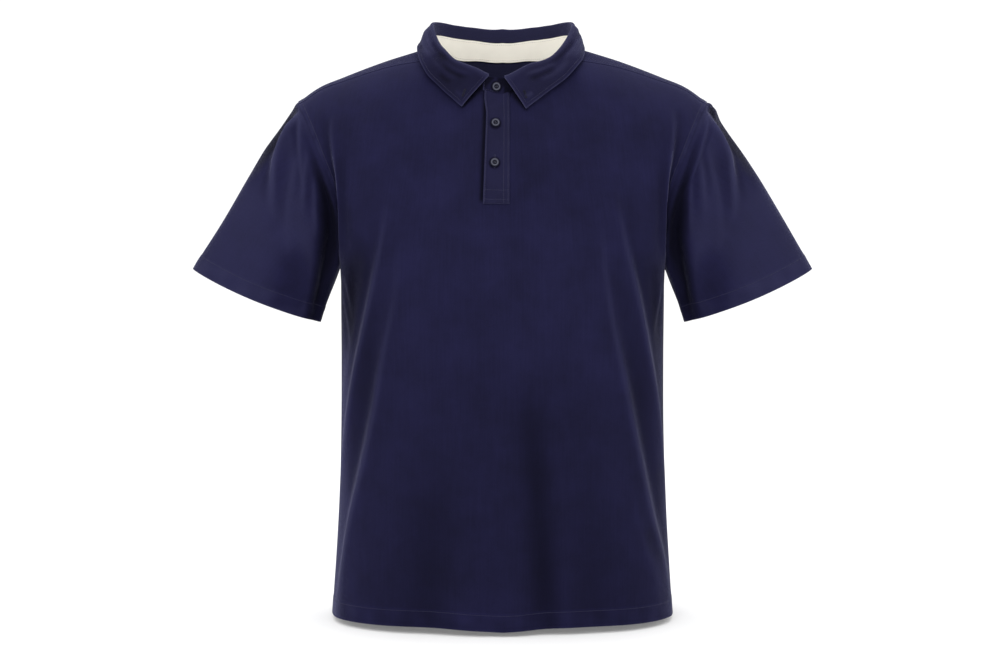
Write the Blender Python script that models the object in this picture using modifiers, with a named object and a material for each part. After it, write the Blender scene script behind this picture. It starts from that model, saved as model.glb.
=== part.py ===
"""A short-sleeved polo shirt, filled out as if worn, with nobody inside it.

Metres, +Z up, +X towards the wearer's left, the chest towards -Y. The origin is the middle of the neck
opening, at the height of the shoulder line, where the wearer carries the shirt.

The cloth is a set of walls. Front and back are woven from columns that climb from the hem to the neckline
and the shoulder seam. Each sleeve is a tube from its armhole to its cuff. The collar is a stand with a
leaf that folds over it. A wall's outer points are worked out first, and its inner points lie one cloth
thickness inside them.
"""

import functools
import math

import bmesh
import bpy
import numpy as np
from mathutils import Vector

# Cloth and seams
CLOTH = 0.0014
SEAM_GAP = 0.0003

# Body: heights on the centre line, and the neck opening
HEM_Z = -0.731
UNDERARM_Z = -0.283
NECK_HALF_WIDTH = 0.0890
NECK_FRONT = 0.0750
NECK_BACK = 0.0650
NECK_FRONT_SHIFT = -0.0075
NECK_SHARE = 0.52

# Cuff: the sleeve's open end, seen from the front
CUFF_OUTER = (0.4020, -0.2880)
CUFF_INNER = (0.2365, -0.3575)
CUFF_HALF_DEPTH = 0.0460
CUFF_BULGE = 0.0040

# Collar. The stand's left end laps over its right end, and each end passes the front by its own angle.
STAND_CLOTH = 0.0016
STAND_LAP = 0.0019
STAND_LAP_FROM = 150.0
STAND_LAP_FULL = 169.0
STAND_OVER_ANGLE = 191.0
STAND_UNDER_ANGLE = 188.75
STAND_ROUND_ANGLE = 7.0
STAND_ROUND_SHARE = 0.5
BAND_CLOTH = 0.0010
BAND_ANGLE = 162.5
BAND_MARGIN = 0.0008
LEAF_CLOTH = 0.0016
LEAF_GAP = 0.0005
LEAF_END_ANGLE = 173.8
LEAF_FOLD_RADIUS = 0.0024
LEAF_EDGE_SHIFT = -0.0115

# Placket: two bands over a slit in the front
PLACKET_CLOTH = 0.0014
PLACKET_TOP_DROP = 0.0016
PLACKET_BOTTOM_Z = -0.204
PLACKET_EDGES = [
    # height, free_edge_x, sewn_edge_x
    (-0.2040, -0.0240, 0.0088),
    (-0.0600, -0.0192, 0.0088),
]
SLIT_BOTTOM_Z = -0.188
SLIT_RIGHT_X = -0.0180
SLIT_LEFT_X = 0.0035
UNDER_RISE = 0.0012

# Buttons
BUTTON_RADIUS = 0.0056
BUTTON_HEIGHT = 0.0024
BUTTON_SIDES = 16
STAND_BUTTON_ANGLE = 180.0
STAND_BUTTON_SHARE = 0.42
PLACKET_BUTTONS = [
    # x, height
    (-0.0088, -0.1033),
    (-0.0098, -0.1531),
]

# Rings of the body below the armholes, from the hem up. Squareness 2 is an ellipse, more is boxier.
BODY_RINGS = [
    # height, half_width, front_depth, back_depth, squareness
    (-0.7310, 0.2211, 0.1360, 0.1270, 2.50),
    (-0.6670, 0.2168, 0.1355, 0.1250, 2.50),
    (-0.5890, 0.2123, 0.1350, 0.1200, 2.45),
    (-0.5000, 0.2096, 0.1345, 0.1150, 2.40),
    (-0.4000, 0.2090, 0.1345, 0.1150, 2.40),
    (-0.3300, 0.2094, 0.1340, 0.1180, 2.40),
    (-0.2830, 0.2095, 0.1330, 0.1210, 2.40),
]

# The stand, by angle round the neck from the back (0) to the front (180).
STAND_ROWS = [
    # angle, height, lean
    (0.0, 0.0272, 0.0000),
    (20.0, 0.0277, 0.0003),
    (30.0, 0.0291, 0.0005),
    (40.0, 0.0300, 0.0009),
    (50.0, 0.0279, 0.0012),
    (60.0, 0.0241, 0.0015),
    (75.0, 0.0183, 0.0020),
    (88.0, 0.0158, 0.0020),
    (106.0, 0.0195, 0.0010),
    (120.0, 0.0213, 0.0000),
    (135.0, 0.0210, 0.0000),
    (150.0, 0.0184, 0.0000),
    (165.0, 0.0181, 0.0000),
    (174.0, 0.0183, 0.0000),
    (180.0, 0.0198, 0.0000),
]

# The top line of the form that the cloth lies on, from the middle (turn 0) to the shoulder's end (1). It
# crosses the open neck. Squareness shapes the way down from it: 2 is an ellipse, less is straighter.
TOP_LINE = [
    # turn, x, y, z, front_squareness, back_squareness
    (0.00, 0.0000, -0.0100, 0.0300, 1.42, 2.17),
    (0.15, 0.0330, -0.0090, 0.0250, 1.47, 2.15),
    (0.30, 0.0670, -0.0060, 0.0065, 1.42, 2.12),
    (0.40, 0.0900, -0.0020, -0.0003, 1.48, 2.12),
    (0.50, 0.1180, 0.0010, -0.0085, 1.70, 2.12),
    (0.60, 0.1470, 0.0020, -0.0175, 1.87, 2.10),
    (0.80, 0.2070, 0.0020, -0.0400, 1.95, 2.05),
    (0.90, 0.2370, 0.0012, -0.0525, 1.98, 2.02),
    (1.00, 0.2645, 0.0000, -0.0718, 2.00, 2.00),
]

# The shoulder seam from the neck to the shoulder point, seen from above. It lies forward of the top line.
SHOULDER_SEAM = [
    # share, x, y
    (0.00, 0.0836, -0.0257),
    (0.20, 0.1110, -0.0290),
    (0.40, 0.1500, -0.0285),
    (0.60, 0.1870, -0.0240),
    (0.80, 0.2260, -0.0190),
    (1.00, 0.2620, -0.0180),
]
SHOULDER_SEAM_ANGLE = 110.0

# The armhole seam, by turn over the shoulder: 0 and 180 are the underarm in front and behind, 90 is on top.
ARMHOLE = [
    # over, x, y, z
    (0.0, 0.2095, 0.0000, -0.2830),
    (10.0, 0.2072, -0.0400, -0.2660),
    (23.0, 0.2085, -0.0680, -0.2300),
    (38.0, 0.2155, -0.0775, -0.1850),
    (53.0, 0.2300, -0.0710, -0.1430),
    (69.0, 0.2480, -0.0480, -0.1030),
    (84.0, 0.2620, -0.0180, -0.0765),
    (90.0, 0.2645, 0.0000, -0.0718),
    (97.0, 0.2620, 0.0220, -0.0775),
    (108.0, 0.2540, 0.0460, -0.0980),
    (122.0, 0.2420, 0.0660, -0.1300),
    (136.0, 0.2270, 0.0770, -0.1760),
    (150.0, 0.2150, 0.0700, -0.2240),
    (166.0, 0.2085, 0.0420, -0.2640),
    (180.0, 0.2095, 0.0000, -0.2830),
]

# Drape folds of the body: a line across the cloth from (turn, height) to (turn, height). A turn of 0 is
# the panel's centre line, and 1 the side seam on the wearer's left.
FRONT_FOLDS = [
    # turn_0, height_0, turn_1, height_1, width, rise
    (-0.56, -0.240, -0.88, -0.640, 0.018, 0.0045),
    (-0.44, -0.300, -0.76, -0.660, 0.019, 0.0045),
    (0.56, -0.240, 0.86, -0.560, 0.018, 0.0045),
    (0.42, -0.280, 0.80, -0.680, 0.019, 0.0045),
    (-0.66, -0.310, -0.88, -0.600, 0.026, -0.0030),
    (0.64, -0.310, 0.88, -0.620, 0.026, -0.0030),
    (-0.10, -0.480, -0.06, -0.760, 0.050, 0.0100),
    (0.15, -0.430, 0.16, -0.760, 0.028, -0.0040),
]
BACK_FOLDS = [
    # turn_0, height_0, turn_1, height_1, width, rise
    (-0.58, -0.230, -0.84, -0.620, 0.020, 0.0045),
    (0.55, -0.250, 0.82, -0.640, 0.020, 0.0045),
    (-0.30, -0.400, -0.36, -0.760, 0.032, 0.0060),
    (0.05, -0.360, 0.02, -0.760, 0.030, -0.0050),
    (0.34, -0.420, 0.40, -0.760, 0.034, 0.0060),
]

# The collar leaf from the back (0) to its point on the wearer's right and left: how far its fold stands
# above the stand, how much it bulges out below the fold, and its free edge.
RIGHT_LEAF_ROWS = [
    # angle, roll, bulge, edge_x, edge_y, edge_z
    (0.0, 0.0179, 0.00, 0.0000, 0.0800, -0.0156),
    (20.0, 0.0166, 0.00, 0.0354, 0.0775, -0.0138),
    (40.0, 0.0168, 0.10, 0.0660, 0.0655, -0.0105),
    (60.0, 0.0170, 0.50, 0.0939, 0.0455, -0.0052),
    (82.0, 0.0153, 1.00, 0.1085, 0.0160, 0.0009),
    (94.0, 0.0112, 1.00, 0.1100, -0.0075, -0.0010),
    (106.0, 0.0068, 0.70, 0.1076, -0.0275, -0.0132),
    (120.0, 0.0064, 0.40, 0.0995, -0.0436, -0.0282),
    (128.0, 0.0098, 0.30, 0.0917, -0.0511, -0.0393),
    (138.0, 0.0120, 0.20, 0.0778, -0.0591, -0.0516),
    (150.0, 0.0128, 0.10, 0.0625, -0.0683, -0.0642),
    (160.0, 0.0085, 0.00, 0.0515, -0.0752, -0.0724),
    (167.0, 0.0056, 0.00, 0.0454, -0.0796, -0.0775),
    (173.8, 0.0034, 0.00, 0.0398, -0.0826, -0.0817),
]
LEFT_LEAF_ROWS = [
    # angle, roll, bulge, edge_x, edge_y, edge_z
    (0.0, 0.0179, 0.00, 0.0000, 0.0800, -0.0156),
    (20.0, 0.0166, 0.00, 0.0354, 0.0775, -0.0138),
    (40.0, 0.0168, 0.10, 0.0660, 0.0655, -0.0105),
    (60.0, 0.0170, 0.40, 0.0924, 0.0455, -0.0057),
    (82.0, 0.0153, 0.80, 0.1058, 0.0160, 0.0001),
    (94.0, 0.0108, 0.80, 0.1068, -0.0080, -0.0030),
    (106.0, 0.0060, 0.60, 0.1050, -0.0300, -0.0159),
    (120.0, 0.0034, 0.40, 0.0984, -0.0434, -0.0282),
    (132.0, 0.0034, 0.20, 0.0856, -0.0556, -0.0448),
    (144.0, 0.0036, 0.10, 0.0685, -0.0692, -0.0599),
    (158.0, 0.0032, 0.00, 0.0537, -0.0821, -0.0733),
    (173.8, 0.0029, 0.00, 0.0409, -0.0889, -0.0845),
]

# How many columns and rows the walls have
NECK_COLUMNS = 8
SHOULDER_COLUMNS = 11
LOW_ROWS = 10
FRONT_HIGH_ROWS = 14
BACK_HIGH_ROWS = 16
SEAM_ROW = 0.012
STAND_ROUND_COLUMNS = 4

# Where the armhole starts to draw the form towards itself, by turn, and the power with which the draw grows
ARMHOLE_FROM = 0.35
ARMHOLE_REACH = 2.0

# How far the hem hangs above its height, from the middle (0) of a panel to its side seam (1)
HEM_WAVE = [
    # turn, rise
    (0.00, -0.0025),
    (0.15, -0.0010),
    (0.35, 0.0008),
    (0.70, 0.0000),
    (1.00, -0.0020),
]
HEM_WAVE_LEVEL = 0.35

# Sleeves: the pull that leaves the armhole and the one that meets the cuff, by place round the sleeve
SLEEVE_PULLS = [
    # around, start_x, start_y, start_z, end_x, end_z
    (0.00, 0.0100, 0.0000, -0.0350, 0.0250, -0.0800),
    (0.10, 0.0300, -0.0050, -0.0450, 0.0450, -0.1150),
    (0.25, 0.1100, 0.0000, -0.0700, 0.0900, -0.1700),
    (0.40, 0.0950, -0.0100, -0.0600, 0.1350, -0.2400),
    (0.50, 0.0550, 0.0000, -0.0330, 0.1500, -0.2650),
    (0.60, 0.0900, 0.0150, -0.0550, 0.1350, -0.2400),
    (0.75, 0.1100, 0.0000, -0.0700, 0.0900, -0.1700),
    (0.90, 0.0300, 0.0050, -0.0450, 0.0450, -0.1150),
    (1.00, 0.0100, 0.0000, -0.0350, 0.0250, -0.0800),
]
SLEEVE_COLUMNS = 30
SLEEVE_ROWS = 13
SLEEVE_CROWDING = 1.35
SLEEVE_ROUND = 0.42
SLEEVE_LENGTH = 0.24

# Sleeve folds, a line from (around, along) to (around, along)
LEFT_SLEEVE_FOLDS = [
    # around_0, along_0, around_1, along_1, width, rise
    (0.46, 0.00, 0.36, 0.62, 0.012, 0.0045),
    (0.43, -0.10, 0.29, 0.40, 0.010, -0.0035),
    (0.08, -0.05, 0.12, 0.60, 0.014, -0.0040),
    (0.56, 0.00, 0.66, 0.55, 0.012, 0.0035),
]
RIGHT_SLEEVE_FOLDS = [
    # around_0, along_0, around_1, along_1, width, rise
    (0.45, 0.00, 0.35, 0.55, 0.012, 0.0045),
    (0.41, -0.10, 0.27, 0.40, 0.010, -0.0030),
    (0.08, -0.05, 0.12, 0.60, 0.014, -0.0045),
    (0.57, 0.00, 0.68, 0.60, 0.012, 0.0035),
]

# Folds fade over this share of their length, and die out near the seams
FOLD_FADE = 0.30
FOLD_FREE_TURN = 0.05
FOLD_FREE_ALONG = 0.12
QUARTER_LENGTH = 0.27
COLUMN_LENGTH = 0.24

# How a place seen from above is looked for on the form
PLAN_START = 700.0
PLAN_STEPS = 25
PLAN_MOST_TURN = 0.05
PLAN_MOST_OVER = 8.0
PLAN_OVER_MARGIN = 1.0
COLUMN_KNOTS = 201

# Where on the front a point is looked for: turns up to, levels from, and in how many steps
ON_FRONT_TURN = 0.5
ON_FRONT_LEVEL = 0.2
ON_FRONT_STEPS = 12

# The leaf's section, as shares and turns at which its rows lie
LEAF_RISE_SHARES = (0.0, 0.5)
LEAF_FOLD_TURNS = (0.0, 45.0, 90.0, 135.0, 180.0)
LEAF_FALL_SHARES = (0.15, 0.35, 0.60, 0.80, 1.0)
LEAF_FALL_PULL = 0.9
LEAF_EDGE_DROOP = 0.1
LEAF_STRAIGHT_FROM = 132.0

# The slit's cutter
SLIT_CUT_DEPTH = 0.16
SLIT_CUT_HEIGHT = 0.24
SLIT_CUT_Y = -0.10

# A button's half section: out from the middle of its back, up its rim and into its dished face
BUTTON_PROFILE = [
    (0.0, BUTTON_HEIGHT * 0.62),
    (BUTTON_RADIUS * 0.55, BUTTON_HEIGHT * 0.62),
    (BUTTON_RADIUS * 0.68, BUTTON_HEIGHT * 0.95),
    (BUTTON_RADIUS * 0.86, BUTTON_HEIGHT),
    (BUTTON_RADIUS, BUTTON_HEIGHT * 0.70),
    (BUTTON_RADIUS, BUTTON_HEIGHT * 0.30),
    (BUTTON_RADIUS * 0.85, 0.0),
    (0.0, 0.0),
]

SHARP_ANGLE = 40.0

# Colours, linear
NAVY = (0.019, 0.019, 0.052)
NAVY_WORN = (0.024, 0.024, 0.060)
CREAM = (0.790, 0.760, 0.680)
BUTTON_NAVY = (0.016, 0.018, 0.040)


def smooth(t):
    """0 below 0, 1 above 1, and a soft step between."""
    t = np.clip(t, 0.0, 1.0)
    return t * t * (3.0 - 2.0 * t)


def through(rows, at):
    """Each further column of a table as a smooth curve through its rows, read at values of the first."""
    rows = np.array(rows, float)
    knots = rows[:, 0]
    values = rows[:, 1:]
    at = np.clip(np.asarray(at, float), knots[0], knots[-1])
    slopes = np.gradient(values, knots, axis=0)
    i = np.clip(np.searchsorted(knots, at, side="right") - 1, 0, len(knots) - 2)
    step = knots[i + 1] - knots[i]
    t = ((at - knots[i]) / step)[..., None]
    step = step[..., None]
    h00 = (1.0 + 2.0 * t) * (1.0 - t) ** 2
    h10 = t * (1.0 - t) ** 2
    h01 = t * t * (3.0 - 2.0 * t)
    h11 = t * t * (t - 1.0)
    return (h00 * values[i] + h10 * step * slopes[i] + h01 * values[i + 1] + h11 * step * slopes[i + 1])


def hermite(start, start_pull, end, end_pull, t):
    """Points at t on the curve that leaves start along start_pull and reaches end along end_pull."""
    t = t[..., None]
    return (
        (1.0 + 2.0 * t) * (1.0 - t) ** 2 * start
        + t * (1.0 - t) ** 2 * start_pull
        + t * t * (3.0 - 2.0 * t) * end
        + t * t * (t - 1.0) * end_pull
    )


def stacked(x, y, z):
    """Vectors from their parts, which are numbers or arrays."""
    return np.stack(np.broadcast_arrays(x, y, z), axis=-1).astype(float)


def ring_point(turn, height, side):
    """A point of the body below the armholes. turn is the share of the way round to the side seam."""
    half_width, front, back, squareness = np.moveaxis(through(BODY_RINGS, height), -1, 0)
    depth = np.where(side < 0, front, back)
    angle = turn * math.pi / 2.0
    across = np.abs(np.sin(angle) / half_width) ** squareness
    out = np.abs(np.cos(angle) / depth) ** squareness
    radius = (across + out) ** (-1.0 / squareness)
    return stacked(radius * np.sin(angle), side * radius * np.cos(angle), height)


def plain_form(turn, over):
    """A point of the form above the underarm, before the armhole draws it in."""
    side = np.where(over < 90.0, -1.0, 1.0)
    foot = ring_point(turn, UNDERARM_Z + 0.0 * turn, side)
    top = through(TOP_LINE, np.abs(turn))
    squareness = np.where(side < 0, top[..., 3], top[..., 4])
    angle = np.radians(over)
    rise = np.abs(np.sin(angle)) ** (2.0 / squareness)
    spread = np.abs(np.cos(angle)) ** (2.0 / squareness)
    x = foot[..., 0] + (np.sign(turn) * top[..., 0] - foot[..., 0]) * rise**2
    y = top[..., 1] + (foot[..., 1] - top[..., 1]) * spread
    z = UNDERARM_Z + (top[..., 2] - UNDERARM_Z) * rise
    return stacked(x, y, z)


def form(turn, over):
    """A point of the form above the underarm. over runs from 0 in front over the top (90) to 180 behind."""
    turn, over = np.broadcast_arrays(np.asarray(turn, float), np.asarray(over, float))
    sign = np.where(turn < 0.0, -1.0, 1.0)
    armhole = through(ARMHOLE, over) * stacked(sign, 1.0, 1.0)
    reach = np.clip((np.abs(turn) - ARMHOLE_FROM) / (1.0 - ARMHOLE_FROM), 0.0, 1.0) ** ARMHOLE_REACH
    return plain_form(turn, over) + reach[..., None] * (armhole - plain_form(sign, over))


def under_plan(x, y):
    """The form's turn and over at a place seen from above, near the neck and the shoulders."""
    x, y = np.broadcast_arrays(np.asarray(x, float), np.asarray(y, float))
    turn = x / TOP_LINE[-1][1]
    over = 90.0 + y * PLAN_START
    small = np.array([1e-4, 1e-2])
    for _ in range(PLAN_STEPS):
        here = form(turn, over)
        by_turn = (form(turn + small[0], over) - here) / small[0]
        by_over = (form(turn, over + small[1]) - here) / small[1]
        miss_x = x - here[..., 0]
        miss_y = y - here[..., 1]
        area = by_turn[..., 0] * by_over[..., 1] - by_turn[..., 1] * by_over[..., 0]
        turn_step = (miss_x * by_over[..., 1] - miss_y * by_over[..., 0]) / area
        over_step = (miss_y * by_turn[..., 0] - miss_x * by_turn[..., 1]) / area
        turn = np.clip(turn + np.clip(turn_step, -PLAN_MOST_TURN, PLAN_MOST_TURN), -1.0, 1.0)
        over = over + np.clip(over_step, -PLAN_MOST_OVER, PLAN_MOST_OVER)
        over = np.clip(over, PLAN_OVER_MARGIN, 180.0 - PLAN_OVER_MARGIN)
    return turn, over


def neck_plan(angle):
    """The neck seam seen from above, by angle in degrees from the back (0) round to the front (180)."""
    turn = np.radians(angle)
    front = np.clip(-np.cos(turn), 0.0, 1.0)
    x = NECK_HALF_WIDTH * np.sin(turn) + NECK_FRONT_SHIFT * front**2
    y = np.where(np.cos(turn) > 0.0, NECK_BACK, NECK_FRONT) * np.cos(turn)
    return x, y


def neck_point(angle):
    """The neck seam on the form."""
    x, y = neck_plan(np.asarray(angle, float))
    turn, over = under_plan(x, y)
    return stacked(x, y, form(turn, over)[..., 2])


def neck_out(angle):
    """The level unit vector that points away from the neck's middle."""
    after_x, after_y = neck_plan(angle + 0.5)
    before_x, before_y = neck_plan(angle - 0.5)
    out = stacked(before_y - after_y, after_x - before_x, 0.0)
    return out / np.linalg.norm(out, axis=-1, keepdims=True)


@functools.lru_cache(maxsize=None)
def column_ends(side):
    """Rows of a column's turn on the front (-1) or the back (1), and the form's turn and over at its end."""
    turn = np.linspace(-1.0, 1.0, COLUMN_KNOTS)
    size = np.abs(turn)
    sign = np.where(turn < 0.0, -1.0, 1.0)
    along = np.clip((size - NECK_SHARE) / (1.0 - NECK_SHARE), 0.0, 1.0)
    seam = through(SHOULDER_SEAM, along)
    seam_x = sign * (seam[..., 0] - SHOULDER_SEAM[0][1] * (1.0 - along))
    seam_y = seam[..., 1] - SHOULDER_SEAM[0][2] * (1.0 - along)
    share = np.clip(size / NECK_SHARE, 0.0, 1.0)
    angle = SHOULDER_SEAM_ANGLE * share if side > 0 else 180.0 - (180.0 - SHOULDER_SEAM_ANGLE) * share
    neck_x, neck_y = neck_plan(sign * angle)
    on_neck = size < NECK_SHARE
    end_x = np.where(on_neck, neck_x, neck_x * (1.0 - along) + seam_x)
    end_y = np.where(on_neck, neck_y, neck_y * (1.0 - along) + seam_y)
    return np.stack([turn, *under_plan(end_x, end_y)], axis=-1)


def plain_body(turn, level, side):
    """A point of the body with no folds. level is 0 at the hem, 1 at the underarm and 2 at the top."""
    turn, level = np.broadcast_arrays(np.asarray(turn, float), np.asarray(level, float))
    end_turn, end_over = np.moveaxis(through(column_ends(side), turn), -1, 0)
    low = ring_point(turn, HEM_Z + (UNDERARM_Z - HEM_Z) * np.clip(level, 0.0, 1.0), side)
    low[..., 2] += through(HEM_WAVE, np.abs(turn))[..., 0] * smooth(1.0 - level / HEM_WAVE_LEVEL)
    rise = np.clip(level - 1.0, 0.0, 1.0)
    foot_over = 0.0 if side < 0 else 180.0
    high = form(turn + (end_turn - turn) * rise**3, foot_over + (end_over - foot_over) * rise)
    return np.where((level > 1.0)[..., None], high, low)


def outward(surface, across, along, flip=1.0, low=0.0, high=2.0, step=1e-3):
    """Unit normals of surface(across, along). Its second value stays from low to high."""
    over = surface(across + step, along) - surface(across - step, along)
    upper = np.minimum(along + step, high)
    lower = np.maximum(along - step, low)
    up = surface(across, upper) - surface(across, lower)
    normal = np.cross(over, up) * flip
    return normal / np.linalg.norm(normal, axis=-1, keepdims=True)


def fold_rise(across, along, folds, across_size, along_size):
    """How far the folds lift the cloth at (across, along), whose units are that many metres long."""
    rise = np.zeros(np.broadcast(across, along).shape)
    for across_0, along_0, across_1, along_1, width, height in folds:
        dx = (across_1 - across_0) * across_size
        dy = (along_1 - along_0) * along_size
        length = math.hypot(dx, dy)
        px = (across - across_0) * across_size
        py = (along - along_0) * along_size
        share = (px * dx + py * dy) / length**2
        aside = (px * dy - py * dx) / length
        fade = smooth(share / FOLD_FADE) * smooth((1.0 - share) / FOLD_FADE)
        rise += height * np.exp(-((aside / width) ** 2)) * fade
    return rise


def body_face(turn, level, side):
    """A point of the outer face of the front (side -1) or the back (side 1)."""
    folds = FRONT_FOLDS if side < 0 else BACK_FOLDS
    plain = plain_body(turn, level, side)
    rise = fold_rise(turn, plain[..., 2], folds, QUARTER_LENGTH, 1.0)
    rise *= smooth((1.0 - np.abs(turn)) / FOLD_FREE_TURN)
    normal = outward(lambda a, b: plain_body(a, b, side), turn, level, -side)
    return plain + normal * rise[..., None]


def on_front(x, z, lift=0.0):
    """The point of the front's outer face straight behind (x, z), moved out by lift."""
    x, z = np.broadcast_arrays(np.asarray(x, float), np.asarray(z, float))
    turn = x - NECK_FRONT_SHIFT / 2.0
    level = np.minimum(1.0 + (z - UNDERARM_Z) / (PLACKET_EDGES[-1][0] - UNDERARM_Z), 2.0)
    step = 1e-4
    for _ in range(ON_FRONT_STEPS):
        here = body_face(turn, level, -1)
        by_turn = (body_face(turn + step, level, -1) - here) / step
        by_level = (here - body_face(turn, level - step, -1)) / step
        miss_x = x - here[..., 0]
        miss_z = z - here[..., 2]
        area = by_turn[..., 0] * by_level[..., 2] - by_turn[..., 2] * by_level[..., 0]
        turn = turn + (miss_x * by_level[..., 2] - miss_z * by_level[..., 0]) / area
        level = level + (miss_z * by_turn[..., 0] - miss_x * by_turn[..., 2]) / area
        turn = np.clip(turn, -ON_FRONT_TURN, ON_FRONT_TURN)
        level = np.clip(level, ON_FRONT_LEVEL, 2.0)
    normal = outward(lambda a, b: body_face(a, b, -1), turn, level)
    return body_face(turn, level, -1) + normal * lift, normal


def armhole_point(around):
    """The armhole seam on the wearer's left: 0 at the underarm, 0.25 in front, 0.5 on top, 0.75 behind."""
    return through(ARMHOLE, np.mod(around, 1.0) * 180.0)


def cuff_point(around):
    """The cuff's edge on the wearer's left, counted round as the armhole is."""
    angle = 2.0 * math.pi * around
    outer = stacked(CUFF_OUTER[0], 0.0, CUFF_OUTER[1])
    inner = stacked(CUFF_INNER[0], 0.0, CUFF_INNER[1])
    centre = (outer + inner) / 2.0
    half = (outer - inner) / 2.0
    axis = np.array([half[2], 0.0, -half[0]]) / np.linalg.norm(half)
    depth = np.array([0.0, -CUFF_HALF_DEPTH, 0.0])
    cosine = np.cos(angle)[..., None]
    sine = np.sin(angle)[..., None]
    return centre - half * cosine + depth * sine + axis * CUFF_BULGE * sine**2


def plain_sleeve(around, along):
    """A point of the left sleeve with no folds. along is 0 at the armhole and 1 at the cuff."""
    around, along = np.broadcast_arrays(np.asarray(around, float), np.asarray(along, float))
    pulls = through(SLEEVE_PULLS, np.mod(around, 1.0))
    start_pull = pulls[..., 0:3]
    end_pull = stacked(pulls[..., 3], 0.0, pulls[..., 4])
    start = armhole_point(around)
    start = start + start_pull / np.linalg.norm(start_pull, axis=-1, keepdims=True) * SEAM_GAP
    return hermite(start, start_pull, cuff_point(around), end_pull, along)


def sleeve_face(around, along, side):
    """A point of the outer face of the sleeve on the wearer's left (side 1) or right (side -1)."""
    plain = plain_sleeve(around, along)
    folds = LEFT_SLEEVE_FOLDS if side > 0 else RIGHT_SLEEVE_FOLDS
    rise = fold_rise(around, along, folds, SLEEVE_ROUND, SLEEVE_LENGTH)
    rise *= smooth(along / FOLD_FREE_ALONG)
    normal = outward(plain_sleeve, around, along, -1.0, 0.0, 1.0)
    return (plain + normal * rise[..., None]) * np.array([side, 1.0, 1.0])


def stand_row(angle):
    """The stand's height and lean at an angle, also past the front."""
    return through(STAND_ROWS, 180.0 - np.abs(180.0 - np.abs(angle)))


def stand_height(angle):
    """The stand's height, with the corner of its upper end rounded off."""
    height = stand_row(angle)[..., 0]
    into = np.clip((angle - STAND_OVER_ANGLE + STAND_ROUND_ANGLE) / STAND_ROUND_ANGLE, 0.0, 1.0)
    return height * (STAND_ROUND_SHARE + (1.0 - STAND_ROUND_SHARE) * np.sqrt(1.0 - into**2))


def stand_face(angle, height, inset=0.0):
    """A point of the stand's outer face at a height above the neck seam, moved in by inset."""
    row = stand_row(angle)
    lean = row[..., 1] * height / row[..., 0]
    lap = STAND_LAP * smooth((angle - STAND_LAP_FROM) / (STAND_LAP_FULL - STAND_LAP_FROM))
    out = neck_out(angle) * (lean + lap - inset)[..., None]
    return neck_point(angle) + out + stacked(0.0 * angle, 0.0, SEAM_GAP + height)


def leaf_face(angle):
    """Rows of the leaf's face at each angle: up from the stand, over the fold and down to the edge."""
    size = np.abs(angle)
    sign = np.where(angle < 0.0, -1.0, 1.0)
    leaf = np.where((angle < 0.0)[..., None], through(RIGHT_LEAF_ROWS, size), through(LEFT_LEAF_ROWS, size))
    out = neck_out(angle)
    top = stand_face(angle, stand_row(angle)[..., 0] + LEAF_GAP, STAND_CLOTH)
    fold_start = top + stacked(0.0, 0.0, leaf[..., 0] - LEAF_FOLD_RADIUS)
    rows = [top + (fold_start - top) * share for share in LEAF_RISE_SHARES]
    centre = fold_start + out * LEAF_FOLD_RADIUS
    for turn in np.radians(LEAF_FOLD_TURNS):
        rows.append(centre + (out * -math.cos(turn) + stacked(0.0, 0.0, math.sin(turn))) * LEAF_FOLD_RADIUS)
    fall = rows[-1]
    front = np.clip(-np.cos(np.radians(size)), 0.0, 1.0)
    edge = stacked(sign * leaf[..., 2] + LEAF_EDGE_SHIFT * front**2, leaf[..., 3], leaf[..., 4])
    length = np.linalg.norm(edge - fall, axis=-1, keepdims=True)
    straight = smooth((size - LEAF_STRAIGHT_FROM) / (LEAF_END_ANGLE - LEAF_STRAIGHT_FROM))[..., None]
    start_pull = (stacked(0.0, 0.0, -1.0) * LEAF_FALL_PULL + out * leaf[..., 1, None]) * length
    start_pull = start_pull + (edge - fall - start_pull) * straight
    end_pull = edge - fall - stacked(0.0, 0.0, 1.0) * length * LEAF_EDGE_DROOP
    for share in LEAF_FALL_SHARES:
        rows.append(hermite(fall, start_pull, edge, end_pull, np.full(angle.shape, share)))
    return np.stack(rows)


def material(name, colour, roughness, metallic=0.0):
    """A Principled material in one linear colour."""
    made = bpy.data.materials.new(name)
    made.use_nodes = True
    shader = made.node_tree.nodes["Principled BSDF"]
    shader.inputs["Base Color"].default_value = (*colour, 1.0)
    shader.inputs["Roughness"].default_value = roughness
    shader.inputs["Metallic"].default_value = metallic
    made.diffuse_color = (*colour, 1.0)
    return made


def add_object(name, mesh, finish, collection):
    """An object of this name for the mesh, in its material and collection."""
    made = bpy.data.objects.new(name, mesh)
    mesh.materials.append(finish)
    collection.objects.link(made)
    return made


def cloth(name, points, thickness, finish, collection, flip=False, tube=False):
    """A wall whose outer face goes through rows of points, and whose thickness lies inside them."""
    rows, columns = points.shape[:2]
    shape = bmesh.new()
    grid = [[shape.verts.new(Vector(point)) for point in row] for row in points]
    for row in range(rows - 1):
        for column in range(columns if tube else columns - 1):
            after = (column + 1) % columns
            corners = [grid[row][column], grid[row][after], grid[row + 1][after], grid[row + 1][column]]
            shape.faces.new(corners[::-1] if flip else corners)
    mesh = bpy.data.meshes.new(name)
    shape.to_mesh(mesh)
    shape.free()
    mesh.shade_smooth()
    made = add_object(name, mesh, finish, collection)
    wall = made.modifiers.new("Wall", "SOLIDIFY")
    wall.thickness = thickness
    wall.offset = -1.0
    mesh.set_sharp_from_angle(angle=math.radians(SHARP_ANGLE))
    return made


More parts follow.
